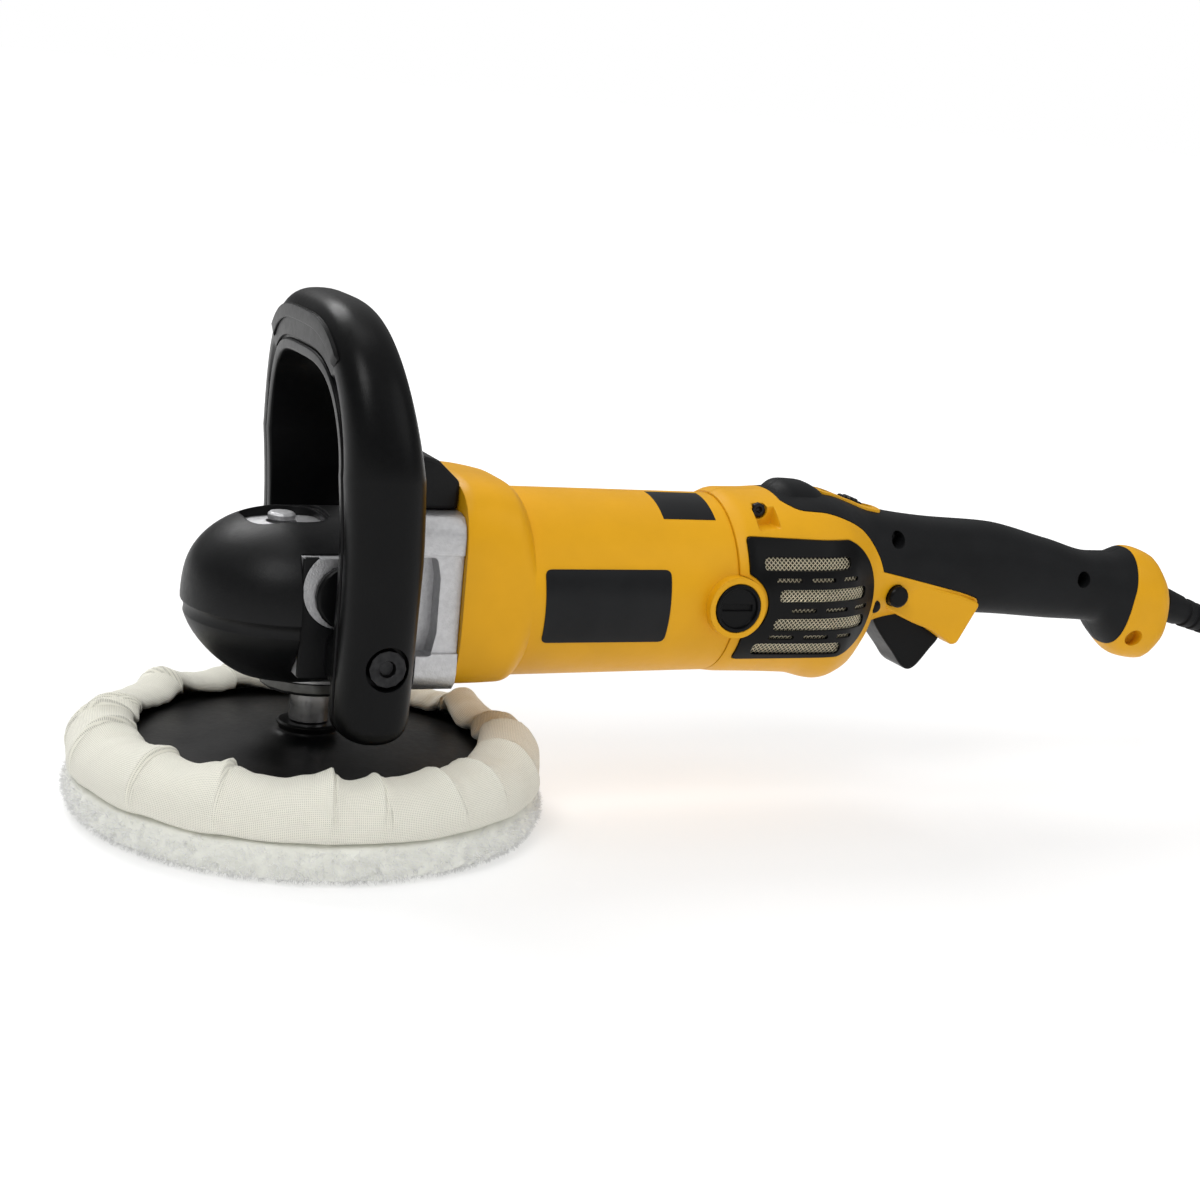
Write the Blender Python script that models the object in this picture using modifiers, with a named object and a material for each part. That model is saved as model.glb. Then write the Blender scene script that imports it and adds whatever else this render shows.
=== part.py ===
"""Rotary polisher with a bail handle, a tail grip and a tie-on wool pad.

Metres, +Z up. The spindle axis is the Z axis and the pad's working face is z = 0.
The motor axis runs along +X, towards the tail grip.
"""
import math

import bmesh
import bpy
from mathutils import Matrix, Vector

MM = 0.001

# Clearances
GAP = 0.3 * MM            # between pieces that touch
RUN = 0.6 * MM            # round pieces that turn or slide
BACKLASH = 0.30           # share of each gear tooth that is taken away

# Pad and bonnet, from the floor up
PILE_DEPTH = 26 * MM
PLATE_RADIUS = 89 * MM
PILE_OVERHANG = 14 * MM   # wool beyond the rim of the plate
PLATE_EDGE = 4 * MM
HUB_HEIGHT = 15 * MM
HUB_RADIUS = 12.5 * MM
NUT_RADIUS = 19 * MM
NUT_HEIGHT = 7 * MM
CLOTH = 2.2 * MM
HEM_INSET = 14 * MM       # hem of the cloth inside the rim of the plate
FOLDS = 20
FOLD_DEPTH = 1.3 * MM

# Spindle and gear head
SPINDLE_RADIUS = 8.9 * MM
THREAD_RADIUS = 7.9 * MM
SPINDLE_REVEAL = 16 * MM
RETAINER_THICK = 6 * MM
RETAINER_RADIUS = 23 * MM
CASE_DROP = 41 * MM       # motor axis over the underside of the gear case
CASE_RISE = 31 * MM       # top of the boot over the motor axis
NOSE_RADIUS = 48 * MM
NOSE_X = -12 * MM
BOOT_WALL = 4.5 * MM
BOOT_REAR = 26 * MM
FLANGE_X = 33 * MM
FLANGE_THICK = 19 * MM
FLANGE_HALF = 41 * MM
FLANGE_TOP = 37 * MM
FLANGE_CORNER = 9 * MM
SCREW_SPREAD = 36 * MM
PAD_HALF = 43 * MM        # flat on each side of the gear case
PAD_FRONT = 7 * MM        # in front of the middle of the nose
PAD_DROP = 32 * MM
PAD_OVER = 2 * MM         # above the port
PAD_SHORT = 3 * MM        # ends before the back of the boot
LOWER_BEARING_RADIUS = 20 * MM
LOWER_BEARING_HEIGHT = 11 * MM
UPPER_BEARING_RADIUS = 10 * MM
UPPER_BEARING_HEIGHT = 7 * MM
JOURNAL_RADIUS = 5 * MM
CHAMBER_RADIUS = 31 * MM
CHAMBER_TOP = 16 * MM
LOCK_X = -18 * MM
LOCK_TRAVEL = 3.5 * MM
LOCK_BUTTON = 6 * MM
LOCK_THICK = 3 * MM
LOCK_SUNK = 1 * MM        # button top below the top of the boot
LOCK_NOTCHES = 10
WINDOW_HALF = 16 * MM     # oval window in the boot over the button
WINDOW_WIDE = 8 * MM

# Bevel gears
PINION_TEETH = 6
RING_TEETH = 24
RING_PITCH = 27 * MM
GEAR_FACE = 10 * MM
RING_DEPTH = 13 * MM

# Bail handle
BAIL_INNER = 55 * MM
BAIL_THICK = 21 * MM
BAIL_WIDE = 33 * MM
BAIL_X = 6.5 * MM
BAIL_FOOT = 54.5 * MM     # below the motor axis
BAIL_TOP = 126.5 * MM     # above the motor axis
BAIL_SPRING = 42 * MM     # where the arch leaves the legs
BAIL_RAKE = 3 * MM        # how far the arch stands behind the feet
BAIL_LEAN = 7 * MM        # how far the top comes forward again
BAIL_ROUND = 0.94         # 1 is an ellipse, less is squarer
BOLT_X = 9.5 * MM
BOLT_DROP = 20 * MM
BOLT_RADIUS = 4 * MM
PORT_RISE = 3 * MM
PORT_RADIUS = 14 * MM

# Motor
HOUSING_X = FLANGE_X + FLANGE_THICK + GAP
COLLAR_LENGTH = 33 * MM
COLLAR_HALF = 43 * MM
HUMP_TOP = 50.5 * MM
BARREL_RADIUS = 42.5 * MM
BARREL_DRAFT = 1.2 * MM
BARREL_WALL = 3.5 * MM
PARTING_X = 184 * MM
SPIGOT_RADIUS = 31 * MM
SPIGOT_LENGTH = 30 * MM
SHAFT_RADIUS = 6 * MM
CORE_X = 96 * MM
CORE_LENGTH = 58 * MM
CORE_RADIUS = 24 * MM
CORE_SLOTS = 9
STATOR_WALL = 12 * MM
FAN_X = 62 * MM
FAN_LENGTH = 14 * MM
FAN_BLADES = 9
BRUSH_X = 182 * MM
BRUSH_DROP = 2 * MM
BRUSH_BOSS = 14 * MM
BRUSH_REACH = 46 * MM     # boss face from the motor axis
CAP_RADIUS = 11 * MM
COMM_RADIUS = 15 * MM
COMM_LENGTH = 20 * MM
MOTOR_BEARING_RADIUS = 16 * MM
MOTOR_BEARING_LENGTH = 11 * MM
TAIL_BEARING_RADIUS = 11 * MM

# Rear housing and tail grip
REAR_STEP = 2.8 * MM      # rear housing stands proud of the barrel
REAR_LENGTH = 84 * MM
GRIP_LENGTH = 175 * MM
REAR_WALL = 3 * MM
SQUARE = 2.4
# share of the length, then top, bottom and half width as shares of the rear radius
REAR_RINGS = (
    (0.00, 1.00, -0.945, 1.00), (0.20, 1.00, -0.945, 1.00), (0.45, 1.02, -0.97, 0.99),
    (0.65, 1.00, -1.03, 0.90), (0.80, 0.92, -0.965, 0.745), (0.92, 0.855, -0.75, 0.61))
# share of the grip length, then top, bottom and half width in millimetres
GRIP_RINGS = (
    (0.000, 36.5, -20.0, 24.5), (0.082, 34.0, -16.0, 22.0), (0.206, 31.8, -14.0, 20.5),
    (0.391, 30.0, -15.0, 20.0), (0.597, 22.0, -17.5, 19.0), (0.761, 15.5, -19.4, 17.5),
    (0.813, 15.5, -29.0, 18.5), (0.874, 18.4, -37.5, 20.0), (0.935, 15.5, -39.0, 20.0),
    (0.975, 8.0, -34.0, 18.5), (1.000, -1.0, -23.0, 14.0))
# thumb rest on top of the grip: behind the start of the grip, then top and half width in millimetres
HUMP_RINGS = ((-55.5, 41.0, 9.0), (-53.0, 46.0, 14.0), (-47.0, 49.0, 17.0), (-38.0, 48.6, 17.5),
              (-31.0, 46.0, 16.0), (-25.0, 41.5, 12.0))
END_CAP = 25 * MM
TRIGGER_HALF = 10 * MM
TRIGGER_PLAY = 0.6 * MM
TRIGGER_PIVOT = (4.5 * MM, -9.5 * MM)
SWITCH_HALF = 15.1 * MM   # held between the two walls of the grip
LOCK_ON_RADIUS = 5.2 * MM
DIAL_RADIUS = 13 * MM
DIAL_WIDE = 9 * MM
FILTER_PROUD = 0.8 * MM
FILTER_THICK = 3 * MM
MESH_THICK = 0.8 * MM
SCREW_HEAD = 3.4 * MM
SCREW_SHANK = 1.9 * MM

# Cord
CORD_RADIUS = 4.5 * MM
CORD_SLOPE = math.radians(18)
BOOT_LENGTH = 70 * MM
BOOT_ROOT = 8.5 * MM
COIL_X = 200 * MM         # coil centre behind the end of the grip
COIL_Y = -30 * MM
COIL_TURNS = 3            # in each of the two layers
COIL_INNER = 39.8 * MM
COIL_PITCH = 9.6 * MM
COIL_DIP = 1.7 * MM
TIE_THICK = 1.2 * MM
TIE_WIDE = 12 * MM
TAIL_LENGTH = 70 * MM
PLUG_LENGTH = 44 * MM
PLUG_HALF = 11 * MM
BLADE_LENGTH = 17 * MM

# Heights and lengths that follow from those above
PILE_RADIUS = PLATE_RADIUS + PILE_OVERHANG
HEM_RADIUS = PLATE_RADIUS - HEM_INSET
HUB_TOP = PILE_DEPTH + HUB_HEIGHT
RETAINER_Z = HUB_TOP + SPINDLE_REVEAL
CASE_Z = RETAINER_Z + RETAINER_THICK
AXIS_Z = CASE_Z + CASE_DROP
BARREL_END = BARREL_RADIUS - BARREL_DRAFT
REAR_RADIUS = BARREL_END + REAR_STEP
GRIP_X = PARTING_X + REAR_LENGTH
END_X = GRIP_X + GRIP_LENGTH
COIL_OUTER = COIL_INNER + COIL_TURNS * COIL_PITCH
COIL_Z = TIE_THICK + 2 * GAP + CORD_RADIUS
LOCK_RING_Z = AXIS_Z + CHAMBER_TOP - 8 * MM
LOCK_RING_THICK = 6 * MM

COLOURS = {
    "yellow": ((0.72, 0.38, 0.02), 0.45, 0.0),
    "black": ((0.02, 0.02, 0.022), 0.5, 0.0),
    "rubber": ((0.03, 0.03, 0.03), 0.75, 0.0),
    "alloy": ((0.62, 0.62, 0.62), 0.45, 1.0),
    "steel": ((0.5, 0.5, 0.52), 0.3, 1.0),
    "copper": ((0.6, 0.28, 0.14), 0.4, 1.0),
    "carbon": ((0.05, 0.05, 0.05), 0.8, 0.0),
    "mesh": ((0.55, 0.5, 0.38), 0.4, 1.0),
    "brass": ((0.7, 0.52, 0.22), 0.3, 1.0),
    "cloth": ((0.8, 0.74, 0.58), 0.9, 0.0),
    "wool": ((0.85, 0.82, 0.72), 1.0, 0.0),
}


def clear_scene():
    for thing in list(bpy.data.objects):
        bpy.data.objects.remove(thing, do_unlink=True)


def group(name):
    made = bpy.data.collections.new(name)
    bpy.context.scene.collection.children.link(made)
    return made


def material(name):
    found = bpy.data.materials.get(name)
    if found:
        return found
    colour, rough, metal = COLOURS[name]
    made = bpy.data.materials.new(name)
    made.use_nodes = True
    shader = made.node_tree.nodes["Principled BSDF"]
    shader.inputs["Base Color"].default_value = (*colour, 1.0)
    shader.inputs["Roughness"].default_value = rough
    shader.inputs["Metallic"].default_value = metal
    return made


clear_scene()
PARTS = group("rotary_polisher")
CUTTERS = group("cutters")


def place(name, data, look):
    """Link new data as a part, or as a hidden cutter when it has no look."""
    thing = bpy.data.objects.new(name, data)
    if look:
        data.materials.append(material(look))
        PARTS.objects.link(thing)
    else:
        thing.hide_render = True
        thing.display_type = "WIRE"
        CUTTERS.objects.link(thing)
    return thing


def mesh_of(name, build):
    data = bpy.data.meshes.new(name)
    work = bmesh.new()
    build(work)
    bmesh.ops.remove_doubles(work, verts=work.verts, dist=1e-6)
    bmesh.ops.recalc_face_normals(work, faces=work.faces)
    work.to_mesh(data)
    work.free()
    return data


def box(name, low, high, look=None):
    """A block between two corners."""
    low, high = Vector(low), Vector(high)
    size = Matrix.Diagonal((*(high - low), 1.0))

    def build(work):
        bmesh.ops.create_cube(work, size=1.0, matrix=Matrix.Translation((low + high) / 2) @ size)
    return place(name, mesh_of(name, build), look)


TURNS = {"X": Matrix.Rotation(math.pi / 2, 4, "Y"), "Y": Matrix.Rotation(-math.pi / 2, 4, "X"),
         "Z": Matrix.Identity(4)}


def rod(name, axis, radius, start, end, at, sides=24, look=None):
    """A round bar along an axis, between two places on it, through the point `at`."""
    def build(work):
        middle = Matrix.Translation((0, 0, (start + end) / 2))
        bmesh.ops.create_cone(work, cap_ends=True, segments=sides, radius1=radius, radius2=radius,
                              depth=abs(end - start), matrix=Matrix.Translation(at) @ TURNS[axis] @ middle)
    return place(name, mesh_of(name, build), look)


def turned(name, axis, profile, at, sides=32, look=None, turn=None):
    """A lathe shape: (radius, distance along the axis), from the far end down the outside."""
    closed = profile[0][0] > 0
    data = bpy.data.meshes.new(name)
    count = len(profile)
    edges = [(i, i + 1) for i in range(count - 1)]
    if closed:
        edges.append((count - 1, 0))
    data.from_pydata([(r, 0, z) for r, z in profile], edges, [])
    thing = place(name, data, look)
    thing.matrix_world = Matrix.Translation(at) @ (turn or TURNS[axis])
    screw = thing.modifiers.new("turn", "SCREW")
    screw.steps = sides
    screw.render_steps = sides
    screw.use_merge_vertices = True
    screw.merge_threshold = 1e-5
    return thing


def prism(name, outline, low, high, look=None):
    """An outline in X and height (from the motor axis), pulled along Y."""
    def build(work):
        verts = [work.verts.new((x, low, AXIS_Z + z)) for x, z in outline]
        face = work.faces.new(verts)
        pulled = bmesh.ops.extrude_face_region(work, geom=[face])
        moved = [v for v in pulled["geom"] if isinstance(v, bmesh.types.BMVert)]
        bmesh.ops.translate(work, verts=moved, vec=(0, high - low, 0))
    return place(name, mesh_of(name, build), look)


def loft(name, rings, look=None, ring_closed=False):
    """A skin through rings of equal count; the ends are capped unless it closes on itself."""
    def build(work):
        rows = [[work.verts.new(p) for p in ring] for ring in rings]
        count = len(rows[0])
        pairs = list(zip(rows, rows[1:]))
        if ring_closed:
            pairs.append((rows[-1], rows[0]))
        for a, b in pairs:
            for i in range(count):
                j = (i + 1) % count
                work.faces.new((a[i], a[j], b[j], b[i]))
        if not ring_closed:
            work.faces.new(rows[0])
            work.faces.new(rows[-1])
    return place(name, mesh_of(name, build), look)


def boolean(thing, other, how="DIFFERENCE"):
    step = thing.modifiers.new(how.lower(), "BOOLEAN")
    step.operation = how
    step.solver = "EXACT"
    step.object = other


def set_origin(thing, at):
    """Put a moving piece's origin on the axis that it turns about."""
    at = Vector(at)
    thing.data.transform(Matrix.Translation(-at))
    thing.location = at


def oval(x, top, bottom, half, power, count=24, inset=0.0):
    """A ring across the motor axis: a squared oval between a top and a bottom height."""
    middle, high = (top + bottom) / 2, (top - bottom) / 2 - inset
    wide = half - inset
    ring = []
    for i in range(count):
        a = 2 * math.pi * (i + 0.5) / count
        c, s = math.cos(a), math.sin(a)
        ring.append((x, wide * math.copysign(abs(c) ** (2 / power), c),
                     AXIS_Z + middle + high * math.copysign(abs(s) ** (2 / power), s)))
    return ring


def arc(x, z, radius, start, end, count):
    steps = [math.radians(start + (end - start) * i / (count - 1)) for i in range(count)]
    return [(x + radius * math.cos(a), z + radius * math.sin(a)) for a in steps]


def notched(name, axis, teeth, tip, root, bore, start, end, at, shares, look):
    """A ring with teeth round its outside; shares are the tip and root widths of a tooth."""
    pitch = 2 * math.pi / teeth
    columns = []
    for i in range(teeth):
        for share, radius in ((-shares[1], root), (-shares[0], tip), (shares[0], tip), (shares[1], root)):
            columns.append((pitch * (i + share / 2), radius))
    place_at = Matrix.Translation(at) @ TURNS[axis]

    def ring(radii, height):
        return [place_at @ Vector((r * math.cos(a), r * math.sin(a), height)) for a, r in radii]
    inner = [(a, bore) for a, _ in columns]
    made = loft(name, [ring(inner, start), ring(columns, start), ring(columns, end), ring(inner, end)],
                look, ring_closed=True)
    set_origin(made, at)
    return made


# Pad and spindle

def wool_pile():
    shape = ((0.0, 1.0), (0.905, 1.0), (0.915, 0.655), (0.972, 0.645), (0.995, 0.52), (1.0, 0.36),
             (0.985, 0.18), (0.94, 0.04), (0.89, 0.0), (0.0, 0.0))
    count = 32
    rings = []
    for share, height in shape[1:-1]:
        ring = []
        for i in range(count):
            a = 2 * math.pi * i / count
            lump = 1 + (0.010 * math.sin(7 * a) + 0.006 * math.sin(17 * a + 1)) * (height < 0.6)
            r = PILE_RADIUS * share * lump
            ring.append((r * math.cos(a), r * math.sin(a), (PILE_DEPTH - GAP) * height))
        rings.append(ring)
    loft("wool_pile", rings, "wool")


def bonnet_skirt():
    """Cloth ring gathered over the rim of the plate, as one folded band."""
    low = (PILE_DEPTH - GAP) * 0.655 + GAP
    rim = PILE_DEPTH + GAP + PLATE_EDGE
    seam = PILE_RADIUS * 0.93
    outer = ((seam + CLOTH, low), (PILE_RADIUS * 0.995, low + 7 * MM), (PILE_RADIUS * 0.965, rim + 1.5 * MM),
             (PILE_RADIUS * 0.88, rim + 5.6 * MM), (HEM_RADIUS, rim + 6.4 * MM))
    count = 3 * FOLDS
    weight = (0.0, 0.8, 1.0, 1.0, 0.8)
    rings = []
    for i in range(count):
        a = 2 * math.pi * i / count
        fold = math.cos(FOLDS * a) + 0.35 * math.sin(5 * a + 0.7)
        up, down = [], []
        for (r, z), w in zip(outer, weight):
            rise = FOLD_DEPTH * fold * w
            up.append((r + 0.5 * rise, z + rise))
            lean = 0.9 if w < 1 and z < rim else 0.35
            down.append((r - CLOTH * lean + 0.5 * rise, z - CLOTH * (1 - lean) + rise))
        loop = up + down[::-1]
        rings.append([(r * math.cos(a), r * math.sin(a), z) for r, z in loop])
    loft("bonnet_skirt", rings, "cloth", ring_closed=True)


def backing_plate():
    under = PILE_DEPTH + GAP
    rim = under + PLATE_EDGE
    web = HUB_TOP - 6 * MM
    bore = THREAD_RADIUS + GAP
    turned("backing_plate", "Z", (
        (bore, HUB_TOP), (HUB_RADIUS, HUB_TOP), (HUB_RADIUS, HUB_TOP - 2.5 * MM),
        (HUB_RADIUS + 4 * MM, HUB_TOP - 4.5 * MM), (0.5 * PLATE_RADIUS, rim + 2.6 * MM), (PLATE_RADIUS, rim),
        (PLATE_RADIUS, under), (NUT_RADIUS + 6 * MM, under), (NUT_RADIUS + 2 * MM, web), (bore, web)),
        (0, 0, 0), 32, "rubber")


def pad_nut():
    top = HUB_TOP - 6 * MM - GAP
    bore = THREAD_RADIUS + GAP
    turned("pad_nut", "Z", (
        (bore, top), (NUT_RADIUS, top), (NUT_RADIUS, top - 2.5 * MM), (NUT_RADIUS * 0.66, top - 3.5 * MM),
        (NUT_RADIUS * 0.62, top - NUT_HEIGHT), (bore, top - NUT_HEIGHT)), (0, 0, 0), 14, "steel")


def spindle():
    upper = AXIS_Z + CHAMBER_TOP
    bottom = HUB_TOP - 6 * MM - GAP - NUT_HEIGHT
    turned("spindle", "Z", (
        (0, upper + UPPER_BEARING_HEIGHT), (JOURNAL_RADIUS, upper + UPPER_BEARING_HEIGHT),
        (JOURNAL_RADIUS, upper), (THREAD_RADIUS, upper - GAP), (THREAD_RADIUS, AXIS_Z - CASE_DROP * 0.63),
        (SPINDLE_RADIUS, AXIS_Z - CASE_DROP * 0.65), (SPINDLE_RADIUS, HUB_TOP + GAP),
        (THREAD_RADIUS, HUB_TOP + GAP), (THREAD_RADIUS, bottom + 1 * MM),
        (THREAD_RADIUS - 1 * MM, bottom), (0, bottom)), (0, 0, 0), 16, "steel")


def bearing(name, axis, inner, outer, start, end, at):
    turned(name, axis, ((inner, end), (outer, end), (outer, start), (inner, start)), at, 16, "steel")


def ring_gear():
    """Bevel ring whose teeth point up at the crossing of the two axes."""
    pitch = 2 * math.pi / RING_TEETH
    slope = PINION_TEETH / RING_TEETH
    module = 2 * RING_PITCH / RING_TEETH
    inner = RING_PITCH - GEAR_FACE
    bottom = -slope * RING_PITCH - RING_DEPTH
    bore = THREAD_RADIUS + GAP
    rings = []
    wide = 0.25 * (1 - BACKLASH)
    for i in range(RING_TEETH):
        for share, add in ((-1.5 * wide, -1.2), (-wide, 0.7), (wide, 0.7), (1.5 * wide, -1.2)):
            a = pitch * (i + 0.5 + share)
            rim = -slope + add * module / RING_PITCH
            loop = ((RING_PITCH, bottom), (RING_PITCH, rim * RING_PITCH), (inner, rim * inner),
                    (bore, bottom))
            rings.append([(r * math.cos(a), r * math.sin(a), AXIS_Z + z) for r, z in loop])
    loft("ring_gear", rings, "steel", ring_closed=True)


def pinion_gear():
    pitch = 2 * math.pi / PINION_TEETH
    slope = PINION_TEETH / RING_TEETH
    module = 2 * RING_PITCH / RING_TEETH
    wide = 0.25 * (1 - BACKLASH)
    ends = []
    for x in (RING_PITCH - GEAR_FACE, RING_PITCH):
        ring = []
        for i in range(PINION_TEETH):
            for share, add in ((-1.5 * wide, -1.2), (-0.6 * wide, 0.7), (0.6 * wide, 0.7), (1.5 * wide, -1.2)):
                a = pitch * (i + share) - math.pi / 2
                r = (slope + add * module / RING_PITCH) * x
                ring.append((x, r * math.cos(a), AXIS_Z + r * math.sin(a)))
        ends.append(ring)
    set_origin(loft("pinion_gear", ends, "steel"), (0, 0, AXIS_Z))


# Gear head

NOSE_SHAPE = ((0.0, 1.0), (0.28, 0.985), (0.54, 0.92), (0.75, 0.78), (0.90, 0.55), (0.98, 0.25),
              (1.0, -0.12), (0.985, -0.33), (0.92, -0.56), (0.79, -0.77), (0.62, -0.93), (0.48, -1.0))


def nose_form(name, inset, rear, look=None, front=14):
    """Domed nose: half a lathe shape in front, the same outline pulled straight back behind."""
    columns = []
    middle = (CASE_RISE - CASE_DROP) / 2
    high = (CASE_RISE + CASE_DROP) / 2 - inset
    outline = []
    for share, level in NOSE_SHAPE:
        tall = level * CASE_RISE if level > 0 else level * CASE_DROP
        outline.append((share * (NOSE_RADIUS - inset), middle + (tall - middle) * high / (high + inset)))
    for i in range(front + 1):
        a = math.pi / 2 + math.pi * i / front
        columns.append([(NOSE_X + r * math.cos(a), r * math.sin(a), AXIS_Z + z) for r, z in outline])
    columns.insert(0, [(rear, r, AXIS_Z + z) for r, z in outline])
    columns.append([(rear, -r, AXIS_Z + z) for r, z in outline])

    def build(work):
        rows = [[work.verts.new(p) for p in column] for column in columns]
        for a, b in zip(rows, rows[1:]):
            for i in range(len(outline) - 1):
                work.faces.new((a[i], a[i + 1], b[i + 1], b[i]))
        work.faces.new(rows[0] + rows[-1][::-1])
        work.faces.new([row[-1] for row in rows])
    data = mesh_of(name, build)
    return place(name, data, look)


def flange_ring(x, half, top, low, corner):
    ring = []
    for y, z, turn in ((half, top, 0), (-half, top, 90), (-half, low, 180), (half, low, 270)):
        cy = y - math.copysign(corner, y)
        cz = z - math.copysign(corner, z)
        ring += [(x, cy + (p - 0), AXIS_Z + cz + q) for p, q in arc(0, 0, corner, turn, turn + 90, 4)]
    return ring


def flange_screw_places():
    return ((-SCREW_SPREAD, FLANGE_TOP - 6 * MM), (SCREW_SPREAD, FLANGE_TOP - 6 * MM),
            (-SCREW_SPREAD, -SCREW_SPREAD), (SCREW_SPREAD, -SCREW_SPREAD))


def gear_case():
    case = nose_form("gear_case", BOOT_WALL + GAP, FLANGE_X + 2 * MM, "alloy", 7)
    back = FLANGE_X + FLANGE_THICK
    flange = loft("flange", [flange_ring(x, FLANGE_HALF, FLANGE_TOP, -FLANGE_HALF, FLANGE_CORNER)
                             for x in (FLANGE_X, back)])
    sides = box("case_sides", (NOSE_X - PAD_FRONT, -PAD_HALF, AXIS_Z - PAD_DROP),
                (BOOT_REAR - PAD_SHORT, PAD_HALF, AXIS_Z + PORT_RISE + PORT_RADIUS + PAD_OVER))
    boss = rod("case_boss", "Z", RETAINER_RADIUS, CASE_Z, AXIS_Z, (0, 0, 0), 24)
    for more in (flange, sides, boss):
        boolean(case, more, "UNION")
    chamber = turned("chamber", "Z", (
        (0, CHAMBER_TOP + UPPER_BEARING_HEIGHT + 0.5 * MM),
        (UPPER_BEARING_RADIUS + GAP, CHAMBER_TOP + UPPER_BEARING_HEIGHT + 0.5 * MM),
        (UPPER_BEARING_RADIUS + GAP, CHAMBER_TOP), (CHAMBER_RADIUS, CHAMBER_TOP),
        (CHAMBER_RADIUS, -CASE_DROP * 0.61), (LOWER_BEARING_RADIUS + GAP, -CASE_DROP * 0.65),
        (LOWER_BEARING_RADIUS + GAP, -CASE_DROP - 1 * MM), (0, -CASE_DROP - 1 * MM)), (0, 0, AXIS_Z), 20)
    seat = back - MOTOR_BEARING_LENGTH - GAP
    tunnel = turned("tunnel", "X", (
        (0, back + 1 * MM), (MOTOR_BEARING_RADIUS + GAP, back + 1 * MM), (MOTOR_BEARING_RADIUS + GAP, seat),
        (MOTOR_BEARING_RADIUS - 3 * MM, seat), (MOTOR_BEARING_RADIUS - 3 * MM, 12 * MM), (0, 12 * MM)),
        (0, 0, AXIS_Z), 16)
    floor = CASE_RISE - LOCK_SUNK - LOCK_THICK - LOCK_TRAVEL - GAP
    lock = turned("lock_hole", "Z", (
        (0, 2 * CASE_RISE), (LOCK_BUTTON + RUN, 2 * CASE_RISE), (LOCK_BUTTON + RUN, floor), (2 * MM + GAP, floor),
        (2 * MM + GAP, 0), (0, 0)), (LOCK_X, 0, AXIS_Z), 16)
    ports = rod("ports", "Y", PORT_RADIUS * 0.5 + GAP, -90 * MM, 90 * MM, (0, 0, AXIS_Z + PORT_RISE), 12)
    for less in (chamber, tunnel, lock, ports):
        boolean(case, less)
    for side in (-1, 1):
        low, high = sorted((side * PAD_HALF * 0.78, side * 2 * PAD_HALF))
        boolean(case, rod("bolt_hole", "Y", BOLT_RADIUS + GAP, low, high,
                          (BOLT_X, 0, AXIS_Z - BOLT_DROP), 10))
    for y, z in flange_screw_places():
        boolean(case, rod("screw_hole", "X", 2.6 * MM, FLANGE_X - 9 * MM, back + 1 * MM, (0, y, AXIS_Z + z), 8))


def gear_case_boot():
    boot = nose_form("gear_case_boot", 0.0, BOOT_REAR, "rubber")
    top = FLANGE_TOP + GAP
    saddle = prism("saddle", (
        (BOOT_REAR - 8 * MM, CASE_RISE * 0.6), (FLANGE_X - 3 * MM, CASE_RISE * 0.6), (FLANGE_X - 3 * MM, top),
        (HOUSING_X - GAP, top), (HOUSING_X - GAP, HUMP_TOP - 1 * MM), (FLANGE_X + 9 * MM, HUMP_TOP + 8 * MM),
        (FLANGE_X + 2 * MM, HUMP_TOP + 10 * MM), (BOOT_REAR - 4 * MM, HUMP_TOP + 4 * MM),
        (BOOT_REAR - 8 * MM, CASE_RISE)), -22 * MM, 22 * MM)
    boolean(boot, saddle, "UNION")
    boolean(boot, nose_form("boot_inside", BOOT_WALL, FLANGE_X + 20 * MM))
    boolean(boot, rod("boot_mouth", "Z", RETAINER_RADIUS + GAP, 0, AXIS_Z, (0, 0, 0), 24))
    window = box("boot_windows", (NOSE_X - PAD_FRONT - GAP, -2 * NOSE_RADIUS, AXIS_Z - PAD_DROP - GAP),
                 (BOOT_REAR - PAD_SHORT + GAP, 2 * NOSE_RADIUS,
                  AXIS_Z + PORT_RISE + PORT_RADIUS + PAD_OVER + GAP))
    boolean(boot, window)
    slot = box("boot_slot", (LOCK_X - WINDOW_HALF, -WINDOW_WIDE, AXIS_Z),
               (LOCK_X + WINDOW_HALF, WINDOW_WIDE, AXIS_Z + 2 * CASE_RISE))
    corner = slot.modifiers.new("round", "BEVEL")
    corner.width = 0.94 * WINDOW_WIDE
    corner.segments = 3
    corner.limit_method = "ANGLE"
    boolean(boot, slot)


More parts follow.
